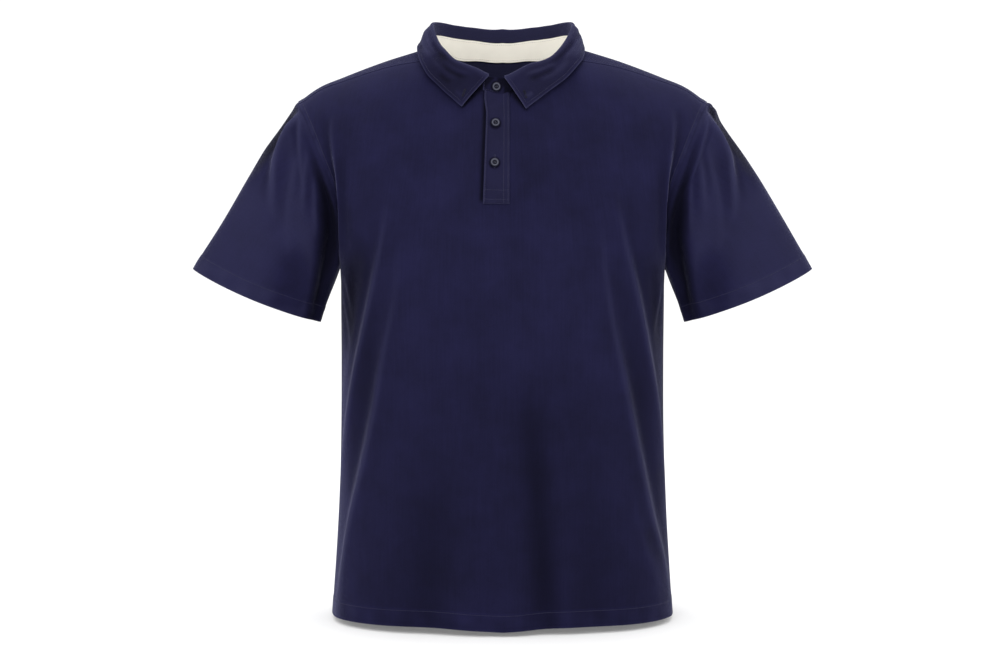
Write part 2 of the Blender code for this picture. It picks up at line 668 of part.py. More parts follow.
def body_panel(name, side, finish, collection):
    """The front or the back, short of its seams by half of the gap."""
    edge = 1.0 - SEAM_GAP / 2.0 / QUARTER_LENGTH
    middle = np.linspace(0.0, NECK_SHARE, NECK_COLUMNS + 1)
    half = np.concatenate([middle[:-1], np.linspace(NECK_SHARE, edge, SHOULDER_COLUMNS + 1)])
    turns = np.concatenate([-half[:0:-1], half])
    top = 2.0 - SEAM_GAP / 2.0 / COLUMN_LENGTH
    low = np.linspace(0.0, 1.0, LOW_ROWS + 1)
    high = np.linspace(1.0, 2.0, (FRONT_HIGH_ROWS if side < 0 else BACK_HIGH_ROWS) + 1)
    levels = np.concatenate([low[:-1], high[:-1], [top - SEAM_ROW], [top]])
    points = body_face(turns[None, :], levels[:, None], side)
    return cloth(name, points, CLOTH, finish, collection, flip=side > 0)


def sleeve(name, side, finish, collection):
    """A sleeve, a tube that is open at the armhole and at the cuff."""
    around = np.arange(SLEEVE_COLUMNS) / SLEEVE_COLUMNS
    along = np.linspace(0.0, 1.0, SLEEVE_ROWS) ** SLEEVE_CROWDING
    points = sleeve_face(around[None, :], along[:, None], side)
    return cloth(name, points, CLOTH, finish, collection, flip=side > 0, tube=True)


def neck_angles(end):
    """Angles round the neck up to end either way, at the columns of the front and the back."""
    back = np.linspace(0.0, SHOULDER_SEAM_ANGLE, NECK_COLUMNS + 1)
    front = np.linspace(SHOULDER_SEAM_ANGLE, 180.0, NECK_COLUMNS + 1)
    half = np.sort(np.concatenate([back, front[1:], [LEAF_END_ANGLE]]))
    half = half[half <= end]
    return np.concatenate([-half[:0:-1], half])


def stand(finish, collection):
    """The stand, a strip round the neck whose ends lap in front."""
    quarter_turn = np.linspace(0.0, math.pi / 2.0, STAND_ROUND_COLUMNS + 1)
    corner = STAND_OVER_ANGLE - STAND_ROUND_ANGLE * (1.0 - np.sin(quarter_turn))
    angles = np.concatenate([[-STAND_UNDER_ANGLE], neck_angles(180.0), corner])
    shares = np.linspace(0.0, 1.0, 3)
    heights = shares[:, None] * stand_height(angles)[None, :]
    points = stand_face(angles + 0.0 * heights, heights)
    return cloth("collar_stand", points, STAND_CLOTH, finish, collection, flip=True)


def band(finish, collection):
    """The pale band that covers the inside of the stand."""
    angles = neck_angles(BAND_ANGLE)
    shares = np.linspace(0.0, 1.0, 3)
    tall = stand_height(angles) - 2.0 * BAND_MARGIN
    heights = BAND_MARGIN + shares[:, None] * tall[None, :]
    points = stand_face(angles + 0.0 * heights, heights, STAND_CLOTH + SEAM_GAP)
    return cloth("neck_band", points, BAND_CLOTH, finish, collection, flip=True)


def leaf(finish, collection):
    """The leaf, from the top of the stand over its fold to its free edge and its two points."""
    angles = neck_angles(LEAF_END_ANGLE)
    return cloth("collar_leaf", leaf_face(angles), LEAF_CLOTH, finish, collection)


def neck_height(x):
    """The neck seam's height in front at x, near the centre line."""
    angle = np.degrees(np.arcsin((x - NECK_FRONT_SHIFT) / NECK_HALF_WIDTH))
    return neck_point(180.0 - angle)[..., 2]


def placket_top(finish, collection):
    """The upper band, on the front's outer face, from the stand to below the slit."""
    across = np.linspace(0.0, 1.0, 5)[None, :]
    down = np.linspace(1.0, 0.0, 15)[:, None]
    ends = through(PLACKET_EDGES, PLACKET_BOTTOM_Z * (1.0 - down) + PLACKET_EDGES[-1][0] * down)
    x = ends[..., 0] * (1.0 - across) + ends[..., 1] * across
    top = neck_height(x) - PLACKET_TOP_DROP
    z = PLACKET_BOTTOM_Z + (top - PLACKET_BOTTOM_Z) * down
    points, _ = on_front(x, z, SEAM_GAP + PLACKET_CLOTH)
    return cloth("placket_top", points, PLACKET_CLOTH, finish, collection, flip=True)


def placket_under(finish, collection):
    """The lower band, which fills the slit level with the front's cloth."""
    across = np.linspace(0.0, 1.0, 3)[None, :]
    down = np.linspace(1.0, 0.0, 13)[:, None]
    left = SLIT_LEFT_X - SEAM_GAP
    right = SLIT_RIGHT_X + SEAM_GAP
    x = right + (left - right) * across + 0.0 * down
    bottom = SLIT_BOTTOM_Z + UNDER_RISE
    z = bottom + (neck_height(x) - SEAM_GAP - bottom) * down
    points, _ = on_front(x, z)
    return cloth("placket_under", points, PLACKET_CLOTH, finish, collection, flip=True)


def slit_cutter(front, collection):
    """The box that opens the front where the placket's bands lie."""
    bpy.ops.mesh.primitive_cube_add(size=1.0)
    cutter = bpy.context.object
    cutter.name = "slit_cutter"
    cutter.scale = (SLIT_LEFT_X - SLIT_RIGHT_X, SLIT_CUT_DEPTH, SLIT_CUT_HEIGHT)
    middle = (SLIT_LEFT_X + SLIT_RIGHT_X) / 2.0
    cutter.location = (middle, SLIT_CUT_Y, SLIT_BOTTOM_Z + SLIT_CUT_HEIGHT / 2.0)
    cutter.users_collection[0].objects.unlink(cutter)
    collection.objects.link(cutter)
    cutter.hide_render = True
    cutter.display_type = "WIRE"
    cut = front.modifiers.new("Slit", "BOOLEAN")
    cut.object = cutter
    cut.solver = "EXACT"


def button(name, seat, normal, finish, collection):
    """A turned button with a raised rim, its back just off the seat and its axis along the normal."""
    outline = bmesh.new()
    profile = [outline.verts.new((radius, 0.0, height)) for radius, height in BUTTON_PROFILE]
    for start, end in zip(profile, profile[1:]):
        outline.edges.new((start, end))
    mesh = bpy.data.meshes.new(name)
    outline.to_mesh(mesh)
    outline.free()
    made = add_object(name, mesh, finish, collection)
    turned = made.modifiers.new("Turned", "SCREW")
    turned.steps = BUTTON_SIDES
    turned.render_steps = BUTTON_SIDES
    turned.use_merge_vertices = True
    turned.merge_threshold = 0.00001
    made.rotation_euler = Vector(normal).to_track_quat("Z", "Y").to_euler()
    made.location = Vector(seat) + Vector(normal) * SEAM_GAP
    return made


def buttons(finish, collection):
    """One button on the stand and two on the placket."""
    angle = np.array(STAND_BUTTON_ANGLE)
    height = STAND_BUTTON_SHARE * stand_height(angle)
    button("button_1", stand_face(angle, height), neck_out(angle), finish, collection)
    for number, (x, z) in enumerate(PLACKET_BUTTONS, start=2):
        seat, normal = on_front(x, z, SEAM_GAP + PLACKET_CLOTH)
        button(f"button_{number}", seat, normal, finish, collection)


def main():
    """Clears the scene and builds the shirt."""
    for old in list(bpy.data.objects):
        bpy.data.objects.remove(old)
    shirt = bpy.data.collections.new("polo_shirt")
    cutters = bpy.data.collections.new("cutters")
    cutters.hide_render = True
    for collection in (shirt, cutters):
        bpy.context.scene.collection.children.link(collection)
    jersey = material("navy_jersey", NAVY, 0.9)
    folded = material("navy_collar", NAVY_WORN, 0.9)
    pale = material("cream_band", CREAM, 0.85)
    horn = material("navy_button", BUTTON_NAVY, 0.4)

    front = body_panel("front", -1, jersey, shirt)
    slit_cutter(front, cutters)
    body_panel("back", 1, jersey, shirt)
    sleeve("sleeve_left", 1, jersey, shirt)
    sleeve("sleeve_right", -1, jersey, shirt)
    stand(folded, shirt)
    band(pale, shirt)
    leaf(folded, shirt)
    placket_under(folded, shirt)
    placket_top(folded, shirt)
    buttons(horn, shirt)


main()
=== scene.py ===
"""The polo shirt at rest: cloth shells with creases, seams, stitches and buttons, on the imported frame."""
import functools
import math
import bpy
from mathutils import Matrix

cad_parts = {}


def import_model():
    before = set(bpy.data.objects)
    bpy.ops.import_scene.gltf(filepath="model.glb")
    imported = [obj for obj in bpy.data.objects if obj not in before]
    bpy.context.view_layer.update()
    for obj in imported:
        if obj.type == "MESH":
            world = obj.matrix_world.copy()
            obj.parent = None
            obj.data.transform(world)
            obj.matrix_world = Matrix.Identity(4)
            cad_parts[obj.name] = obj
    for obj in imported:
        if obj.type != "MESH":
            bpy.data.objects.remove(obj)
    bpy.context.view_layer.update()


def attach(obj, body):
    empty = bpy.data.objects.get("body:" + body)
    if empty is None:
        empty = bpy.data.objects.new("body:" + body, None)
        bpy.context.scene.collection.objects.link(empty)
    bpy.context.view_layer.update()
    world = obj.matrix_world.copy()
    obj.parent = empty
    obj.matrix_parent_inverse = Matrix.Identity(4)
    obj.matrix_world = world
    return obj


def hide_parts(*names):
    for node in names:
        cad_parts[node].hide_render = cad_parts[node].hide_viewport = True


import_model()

import types

import bpy
import numpy as np
from mathutils import Vector

# ---- The cloth's shape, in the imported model's own sizes ----

# Cloth and seams
CLOTH = 0.0014
SEAM_GAP = 0.0003

# Body: heights on the centre line, and the neck opening
HEM_Z = -0.731
UNDERARM_Z = -0.283
NECK_HALF_WIDTH = 0.0890
NECK_FRONT = 0.0750
NECK_BACK = 0.0650
NECK_FRONT_SHIFT = -0.0075
NECK_SHARE = 0.52

# Cuff: the sleeve's open end, seen from the front
CUFF_OUTER = (0.4020, -0.2880)
CUFF_INNER = (0.2365, -0.3575)
CUFF_HALF_DEPTH = 0.0460
CUFF_BULGE = 0.0040

# Collar. The stand's left end laps over its right end, and each end passes the front by its own angle.
STAND_CLOTH = 0.0016
STAND_LAP = 0.0019
STAND_LAP_FROM = 150.0
STAND_LAP_FULL = 169.0
STAND_OVER_ANGLE = 191.0
STAND_UNDER_ANGLE = 188.75
STAND_ROUND_ANGLE = 7.0
STAND_ROUND_SHARE = 0.5
BAND_CLOTH = 0.0010
BAND_ANGLE = 162.5
BAND_MARGIN = 0.0008
LEAF_CLOTH = 0.0016
LEAF_GAP = 0.0005
LEAF_END_ANGLE = 173.8
LEAF_FOLD_RADIUS = 0.0024
LEAF_EDGE_SHIFT = -0.0115

# Placket: two bands over a slit in the front
PLACKET_CLOTH = 0.0014
PLACKET_TOP_DROP = 0.0016
PLACKET_BOTTOM_Z = -0.204
PLACKET_EDGES = [
    # height, free_edge_x, sewn_edge_x
    (-0.2040, -0.0240, 0.0088),
    (-0.0600, -0.0192, 0.0088),
]
SLIT_BOTTOM_Z = -0.188
SLIT_RIGHT_X = -0.0180
SLIT_LEFT_X = 0.0035
UNDER_RISE = 0.0012

# Buttons
BUTTON_RADIUS = 0.0056
BUTTON_HEIGHT = 0.0024
STAND_BUTTON_ANGLE = 180.0
STAND_BUTTON_SHARE = 0.42
PLACKET_BUTTONS = [
    # x, height
    (-0.0088, -0.1033),
    (-0.0098, -0.1531),
]

# Rings of the body below the armholes, from the hem up. Squareness 2 is an ellipse, more is boxier.
BODY_RINGS = [
    # height, half_width, front_depth, back_depth, squareness
    (-0.7310, 0.2211, 0.1360, 0.1270, 2.50),
    (-0.6670, 0.2168, 0.1355, 0.1250, 2.50),
    (-0.5890, 0.2123, 0.1350, 0.1200, 2.45),
    (-0.5000, 0.2096, 0.1345, 0.1150, 2.40),
    (-0.4000, 0.2090, 0.1345, 0.1150, 2.40),
    (-0.3300, 0.2094, 0.1340, 0.1180, 2.40),
    (-0.2830, 0.2095, 0.1330, 0.1210, 2.40),
]

# The stand, by angle round the neck from the back (0) to the front (180).
STAND_ROWS = [
    # angle, height, lean
    (0.0, 0.0272, 0.0000),
    (20.0, 0.0277, 0.0003),
    (30.0, 0.0291, 0.0005),
    (40.0, 0.0300, 0.0009),
    (50.0, 0.0279, 0.0012),
    (60.0, 0.0241, 0.0015),
    (75.0, 0.0183, 0.0020),
    (88.0, 0.0158, 0.0020),
    (106.0, 0.0195, 0.0010),
    (120.0, 0.0213, 0.0000),
    (135.0, 0.0210, 0.0000),
    (150.0, 0.0184, 0.0000),
    (165.0, 0.0181, 0.0000),
    (174.0, 0.0183, 0.0000),
    (180.0, 0.0198, 0.0000),
]

# The top line of the form that the cloth lies on, from the middle (turn 0) to the shoulder's end (1). It
# crosses the open neck. Squareness shapes the way down from it: 2 is an ellipse, less is straighter.
TOP_LINE = [
    # turn, x, y, z, front_squareness, back_squareness
    (0.00, 0.0000, -0.0100, 0.0300, 1.42, 2.17),
    (0.15, 0.0330, -0.0090, 0.0250, 1.47, 2.15),
    (0.30, 0.0670, -0.0060, 0.0065, 1.42, 2.12),
    (0.40, 0.0900, -0.0020, -0.0003, 1.48, 2.12),
    (0.50, 0.1180, 0.0010, -0.0085, 1.70, 2.12),
    (0.60, 0.1470, 0.0020, -0.0175, 1.87, 2.10),
    (0.80, 0.2070, 0.0020, -0.0400, 1.95, 2.05),
    (0.90, 0.2370, 0.0012, -0.0525, 1.98, 2.02),
    (1.00, 0.2645, 0.0000, -0.0718, 2.00, 2.00),
]

# The shoulder seam from the neck to the shoulder point, seen from above. It lies forward of the top line.
SHOULDER_SEAM = [
    # share, x, y
    (0.00, 0.0836, -0.0257),
    (0.20, 0.1110, -0.0290),
    (0.40, 0.1500, -0.0285),
    (0.60, 0.1870, -0.0240),
    (0.80, 0.2260, -0.0190),
    (1.00, 0.2620, -0.0180),
]
SHOULDER_SEAM_ANGLE = 110.0

# The armhole seam, by turn over the shoulder: 0 and 180 are the underarm in front and behind, 90 is on top.
ARMHOLE = [
    # over, x, y, z
    (0.0, 0.2095, 0.0000, -0.2830),
    (10.0, 0.2072, -0.0400, -0.2660),
    (23.0, 0.2085, -0.0680, -0.2300),
    (38.0, 0.2155, -0.0775, -0.1850),
    (53.0, 0.2300, -0.0710, -0.1430),
    (69.0, 0.2480, -0.0480, -0.1030),
    (84.0, 0.2620, -0.0180, -0.0765),
    (90.0, 0.2645, 0.0000, -0.0718),
    (97.0, 0.2620, 0.0220, -0.0775),
    (108.0, 0.2540, 0.0460, -0.0980),
    (122.0, 0.2420, 0.0660, -0.1300),
    (136.0, 0.2270, 0.0770, -0.1760),
    (150.0, 0.2150, 0.0700, -0.2240),
    (166.0, 0.2085, 0.0420, -0.2640),
    (180.0, 0.2095, 0.0000, -0.2830),
]

# The collar leaf from the back (0) to its point on the wearer's right and left: how far its fold stands
# above the stand, how much it bulges out below the fold, and its free edge.
RIGHT_LEAF_ROWS = [
    # angle, roll, bulge, edge_x, edge_y, edge_z
    (0.0, 0.0179, 0.00, 0.0000, 0.0800, -0.0156),
    (20.0, 0.0166, 0.00, 0.0354, 0.0775, -0.0138),
    (40.0, 0.0168, 0.10, 0.0660, 0.0655, -0.0105),
    (60.0, 0.0170, 0.50, 0.0939, 0.0455, -0.0052),
    (82.0, 0.0153, 1.00, 0.1085, 0.0160, 0.0009),
    (94.0, 0.0112, 1.00, 0.1100, -0.0075, -0.0010),
    (106.0, 0.0068, 0.70, 0.1076, -0.0275, -0.0132),
    (120.0, 0.0064, 0.40, 0.0995, -0.0436, -0.0282),
    (128.0, 0.0098, 0.30, 0.0917, -0.0511, -0.0393),
    (138.0, 0.0120, 0.20, 0.0778, -0.0591, -0.0516),
    (150.0, 0.0128, 0.10, 0.0625, -0.0683, -0.0642),
    (160.0, 0.0085, 0.00, 0.0515, -0.0752, -0.0724),
    (167.0, 0.0056, 0.00, 0.0454, -0.0796, -0.0775),
    (173.8, 0.0034, 0.00, 0.0398, -0.0826, -0.0817),
]
LEFT_LEAF_ROWS = [
    # angle, roll, bulge, edge_x, edge_y, edge_z
    (0.0, 0.0179, 0.00, 0.0000, 0.0800, -0.0156),
    (20.0, 0.0166, 0.00, 0.0354, 0.0775, -0.0138),
    (40.0, 0.0168, 0.10, 0.0660, 0.0655, -0.0105),
    (60.0, 0.0170, 0.40, 0.0924, 0.0455, -0.0057),
    (82.0, 0.0153, 0.80, 0.1058, 0.0160, 0.0001),
    (94.0, 0.0108, 0.80, 0.1068, -0.0080, -0.0030),
    (106.0, 0.0060, 0.60, 0.1050, -0.0300, -0.0159),
    (120.0, 0.0034, 0.40, 0.0984, -0.0434, -0.0282),
    (132.0, 0.0034, 0.20, 0.0856, -0.0556, -0.0448),
    (144.0, 0.0036, 0.10, 0.0685, -0.0692, -0.0599),
    (158.0, 0.0032, 0.00, 0.0537, -0.0821, -0.0733),
    (173.8, 0.0029, 0.00, 0.0409, -0.0889, -0.0845),
]

# Where the armhole starts to draw the form towards itself, by turn, and the power with which the draw grows
ARMHOLE_FROM = 0.35
ARMHOLE_REACH = 2.0

# How far the hem hangs above its height, from the middle (0) of a panel to its side seam (1)
HEM_WAVE = [
    # turn, rise
    (0.00, -0.0025),
    (0.15, -0.0010),
    (0.35, 0.0008),
    (0.70, 0.0000),
    (1.00, -0.0020),
]
HEM_WAVE_LEVEL = 0.35

# Sleeves: the pull that leaves the armhole and the one that meets the cuff, by place round the sleeve
SLEEVE_PULLS = [
    # around, start_x, start_y, start_z, end_x, end_z
    (0.00, 0.0100, 0.0000, -0.0350, 0.0250, -0.0800),
    (0.10, 0.0300, -0.0050, -0.0450, 0.0450, -0.1150),
    (0.25, 0.1100, 0.0000, -0.0700, 0.0900, -0.1700),
    (0.40, 0.0950, -0.0100, -0.0600, 0.1350, -0.2400),
    (0.50, 0.0550, 0.0000, -0.0330, 0.1500, -0.2650),
    (0.60, 0.0900, 0.0150, -0.0550, 0.1350, -0.2400),
    (0.75, 0.1100, 0.0000, -0.0700, 0.0900, -0.1700),
    (0.90, 0.0300, 0.0050, -0.0450, 0.0450, -0.1150),
    (1.00, 0.0100, 0.0000, -0.0350, 0.0250, -0.0800),
]
SLEEVE_ROUND = 0.42
SLEEVE_LENGTH = 0.24

# Creases die out this near the side seams, by turn. A quarter of the girth, and a column above the underarm
FOLD_FREE_TURN = 0.05
QUARTER_LENGTH = 0.27
COLUMN_LENGTH = 0.24

# How a place seen from above is looked for on the form
PLAN_START = 700.0
PLAN_STEPS = 25
PLAN_MOST_TURN = 0.05
PLAN_MOST_OVER = 8.0
PLAN_OVER_MARGIN = 1.0
COLUMN_KNOTS = 201

# Where on the front a point is looked for: turns up to, levels from, and in how many steps
ON_FRONT_TURN = 0.5
ON_FRONT_LEVEL = 0.2
ON_FRONT_STEPS = 12

LEAF_FALL_PULL = 0.9
LEAF_EDGE_DROOP = 0.1
LEAF_STRAIGHT_FROM = 132.0


def smooth(t):
    """0 below 0, 1 above 1, and a soft step between."""
    t = np.clip(t, 0.0, 1.0)
    return t * t * (3.0 - 2.0 * t)


def after(value, start, width):
    """0 up to start, 1 from a width further on, and a soft step between."""
    return smooth((value - start) / width)


def before(value, end, width):
    """1 up to a width short of end, 0 from end on, and a soft step between."""
    return smooth((end - value) / width)


def bell(value, width):
    """1 at 0, and almost 0 from two widths away."""
    return np.exp(-((value / width) ** 2))


def lines(distance, rows):
    """Soft lines side by side, from rows of (place, width, strength)."""
    return sum(strength * bell(distance - at, width) for at, width, strength in rows)


def unit(vectors):
    return vectors / np.maximum(np.linalg.norm(vectors, axis=-1, keepdims=True), 1e-12)


def stacked(x, y, z):
    """Vectors from their parts, which are numbers or arrays."""
    return np.stack(np.broadcast_arrays(x, y, z), axis=-1).astype(float)


def hermite(start, start_pull, end, end_pull, t):
    """Points at t on the curve that leaves start along start_pull and reaches end along end_pull."""
    t = t[..., None]
    return (
        (1.0 + 2.0 * t) * (1.0 - t) ** 2 * start
        + t * (1.0 - t) ** 2 * start_pull
        + t * t * (3.0 - 2.0 * t) * end
        + t * t * (t - 1.0) * end_pull
    )


def through(rows, at):
    """Each further column of a table as a smooth curve through its rows, read at values of the first."""
    rows = np.array(rows, float)
    knots, values = rows[:, 0], rows[:, 1:]
    at = np.clip(np.asarray(at, float), knots[0], knots[-1])
    slopes = np.gradient(values, knots, axis=0)
    i = np.clip(np.searchsorted(knots, at, side="right") - 1, 0, len(knots) - 2)
    step = knots[i + 1] - knots[i]
    wide = step[..., None]
    return hermite(values[i], wide * slopes[i], values[i + 1], wide * slopes[i + 1], (at - knots[i]) / step)


def newton_steps(surface, first, second, wanted, axes, small):
    """The steps of both values towards where surface(first, second) has the wanted parts on two axes."""
    here = surface(first, second)
    by_first = (surface(first + small[0], second) - here) / small[0]
    by_second = (surface(first, second + small[1]) - here) / small[1]
    a, b = axes
    miss_a, miss_b = wanted[0] - here[..., a], wanted[1] - here[..., b]
    area = by_first[..., a] * by_second[..., b] - by_first[..., b] * by_second[..., a]
    return ((miss_a * by_second[..., b] - miss_b * by_second[..., a]) / area,
            (miss_b * by_first[..., a] - miss_a * by_first[..., b]) / area)


# ---- The forms that the cloth lies on ----


def ring_point(turn, height, side):
    """A point of the body below the armholes. turn is the share of the way round to the side seam."""
    half_width, front, back, squareness = np.moveaxis(through(BODY_RINGS, height), -1, 0)
    depth = np.where(side < 0, front, back)
    angle = turn * math.pi / 2.0
    across = np.abs(np.sin(angle) / half_width) ** squareness
    out = np.abs(np.cos(angle) / depth) ** squareness
    radius = (across + out) ** (-1.0 / squareness)
    return stacked(radius * np.sin(angle), side * radius * np.cos(angle), height)


def plain_form(turn, over):
    """A point of the form above the underarm, before the armhole draws it in."""
    side = np.where(over < 90.0, -1.0, 1.0)
    foot = ring_point(turn, UNDERARM_Z + 0.0 * turn, side)
    top = through(TOP_LINE, np.abs(turn))
    squareness = np.where(side < 0, top[..., 3], top[..., 4])
    angle = np.radians(over)
    rise = np.abs(np.sin(angle)) ** (2.0 / squareness)
    spread = np.abs(np.cos(angle)) ** (2.0 / squareness)
    x = foot[..., 0] + (np.sign(turn) * top[..., 0] - foot[..., 0]) * rise**2
    y = top[..., 1] + (foot[..., 1] - top[..., 1]) * spread
    z = UNDERARM_Z + (top[..., 2] - UNDERARM_Z) * rise
    return stacked(x, y, z)


def form(turn, over):
    """A point of the form above the underarm. over runs from 0 in front over the top (90) to 180 behind."""
    turn, over = np.broadcast_arrays(np.asarray(turn, float), np.asarray(over, float))
    sign = np.where(turn < 0.0, -1.0, 1.0)
    armhole = through(ARMHOLE, over) * stacked(sign, 1.0, 1.0)
    reach = np.clip((np.abs(turn) - ARMHOLE_FROM) / (1.0 - ARMHOLE_FROM), 0.0, 1.0) ** ARMHOLE_REACH
    return plain_form(turn, over) + reach[..., None] * (armhole - plain_form(sign, over))


def under_plan(x, y):
    """The form's turn and over at a place seen from above, near the neck and the shoulders."""
    x, y = np.broadcast_arrays(np.asarray(x, float), np.asarray(y, float))
    turn = x / TOP_LINE[-1][1]
    over = 90.0 + y * PLAN_START
    for _ in range(PLAN_STEPS):
        turn_step, over_step = newton_steps(form, turn, over, (x, y), (0, 1), (1e-4, 1e-2))
        turn = np.clip(turn + np.clip(turn_step, -PLAN_MOST_TURN, PLAN_MOST_TURN), -1.0, 1.0)
        over = over + np.clip(over_step, -PLAN_MOST_OVER, PLAN_MOST_OVER)
        over = np.clip(over, PLAN_OVER_MARGIN, 180.0 - PLAN_OVER_MARGIN)
    return turn, over


def neck_plan(angle):
    """The neck seam seen from above, by angle in degrees from the back (0) round to the front (180)."""
    turn = np.radians(angle)
    front = np.clip(-np.cos(turn), 0.0, 1.0)
    x = NECK_HALF_WIDTH * np.sin(turn) + NECK_FRONT_SHIFT * front**2
    y = np.where(np.cos(turn) > 0.0, NECK_BACK, NECK_FRONT) * np.cos(turn)
    return x, y


def neck_point(angle):
    """The neck seam on the form."""
    x, y = neck_plan(np.asarray(angle, float))
    return stacked(x, y, form(*under_plan(x, y))[..., 2])


def neck_out(angle):
    """The level unit vector that points away from the neck's middle."""
    after_x, after_y = neck_plan(angle + 0.5)
    before_x, before_y = neck_plan(angle - 0.5)
    return unit(stacked(before_y - after_y, after_x - before_x, 0.0))


@functools.lru_cache(maxsize=None)
def column_ends(side):
    """Rows of a column's turn on the front (side -1) or the back (1), and its end's turn and over."""
    turn = np.linspace(-1.0, 1.0, COLUMN_KNOTS)
    size = np.abs(turn)
    sign = np.where(turn < 0.0, -1.0, 1.0)
    along = np.clip((size - NECK_SHARE) / (1.0 - NECK_SHARE), 0.0, 1.0)
    seam = through(SHOULDER_SEAM, along)
    seam_x = sign * (seam[..., 0] - SHOULDER_SEAM[0][1] * (1.0 - along))
    seam_y = seam[..., 1] - SHOULDER_SEAM[0][2] * (1.0 - along)
    share = np.clip(size / NECK_SHARE, 0.0, 1.0)
    angle = SHOULDER_SEAM_ANGLE * share if side > 0 else 180.0 - (180.0 - SHOULDER_SEAM_ANGLE) * share
    neck_x, neck_y = neck_plan(sign * angle)
    on_neck = size < NECK_SHARE
    end_x = np.where(on_neck, neck_x, neck_x * (1.0 - along) + seam_x)
    end_y = np.where(on_neck, neck_y, neck_y * (1.0 - along) + seam_y)
    return np.stack([turn, *under_plan(end_x, end_y)], axis=-1)


def plain_body(turn, level, side):
    """A point of the body with no folds. level is 0 at the hem, 1 at the underarm and 2 at the top."""
    turn, level = np.broadcast_arrays(np.asarray(turn, float), np.asarray(level, float))
    end_turn, end_over = np.moveaxis(through(column_ends(side), turn), -1, 0)
    low = ring_point(turn, HEM_Z + (UNDERARM_Z - HEM_Z) * np.clip(level, 0.0, 1.0), side)
    low[..., 2] += through(HEM_WAVE, np.abs(turn))[..., 0] * smooth(1.0 - level / HEM_WAVE_LEVEL)
    rise = np.clip(level - 1.0, 0.0, 1.0)
    foot_over = 0.0 if side < 0 else 180.0
    high = form(turn + (end_turn - turn) * rise**3, foot_over + (end_over - foot_over) * rise)
    return np.where((level > 1.0)[..., None], high, low)


def outward(surface, across, along, flip=1.0, low=0.0, high=2.0, step=1e-3):
    """Unit normals of surface(across, along). Its second value stays from low to high."""
    over = surface(across + step, along) - surface(across - step, along)
    up = surface(across, np.minimum(along + step, high)) - surface(across, np.maximum(along - step, low))
    return unit(np.cross(over, up) * flip)


def armhole_point(around):
    """The armhole seam on the wearer's left: 0 at the underarm, 0.25 in front, 0.5 on top, 0.75 behind."""
    return through(ARMHOLE, np.mod(around, 1.0) * 180.0)


def cuff_point(around):
    """The cuff's edge on the wearer's left, counted round as the armhole is."""
    angle = 2.0 * math.pi * around
    outer = stacked(CUFF_OUTER[0], 0.0, CUFF_OUTER[1])
    inner = stacked(CUFF_INNER[0], 0.0, CUFF_INNER[1])
    half = (outer - inner) / 2.0
    axis = np.array([half[2], 0.0, -half[0]]) / np.linalg.norm(half)
    depth = np.array([0.0, -CUFF_HALF_DEPTH, 0.0])
    cosine, sine = np.cos(angle)[..., None], np.sin(angle)[..., None]
    return (outer + inner) / 2.0 - half * cosine + depth * sine + axis * CUFF_BULGE * sine**2


def plain_sleeve(around, along):
    """A point of the left sleeve with no folds. along is 0 at the armhole and 1 at the cuff."""
    around, along = np.broadcast_arrays(np.asarray(around, float), np.asarray(along, float))
    pulls = through(SLEEVE_PULLS, np.mod(around, 1.0))
    start_pull = pulls[..., 0:3]
    end_pull = stacked(pulls[..., 3], 0.0, pulls[..., 4])
    start = armhole_point(around) + unit(start_pull) * SEAM_GAP
    return hermite(start, start_pull, cuff_point(around), end_pull, along)


def stand_row(angle):
    """The stand's height and lean at an angle, also past the front."""
    return through(STAND_ROWS, 180.0 - np.abs(180.0 - np.abs(angle)))


def stand_height(angle):
    """The stand's height, with the corner of its upper end rounded off."""
    height = stand_row(angle)[..., 0]
    into = np.clip((angle - STAND_OVER_ANGLE + STAND_ROUND_ANGLE) / STAND_ROUND_ANGLE, 0.0, 1.0)
    return height * (STAND_ROUND_SHARE + (1.0 - STAND_ROUND_SHARE) * np.sqrt(1.0 - into**2))


def stand_face(angle, height, inset=0.0):
    """A point of the stand's outer face at a height above the neck seam, moved in by inset."""
    row = stand_row(angle)
    lean = row[..., 1] * height / row[..., 0]
    lap = STAND_LAP * smooth((angle - STAND_LAP_FROM) / (STAND_LAP_FULL - STAND_LAP_FROM))
    out = neck_out(angle) * (lean + lap - inset)[..., None]
    return neck_point(angle) + out + stacked(0.0 * angle, 0.0, SEAM_GAP + height)


def neck_height(x):
    """The neck seam's height in front at x, near the centre line."""
    angle = np.degrees(np.arcsin((x - NECK_FRONT_SHIFT) / NECK_HALF_WIDTH))
    return neck_point(180.0 - angle)[..., 2]


# ---- Creases, folds and seams ----

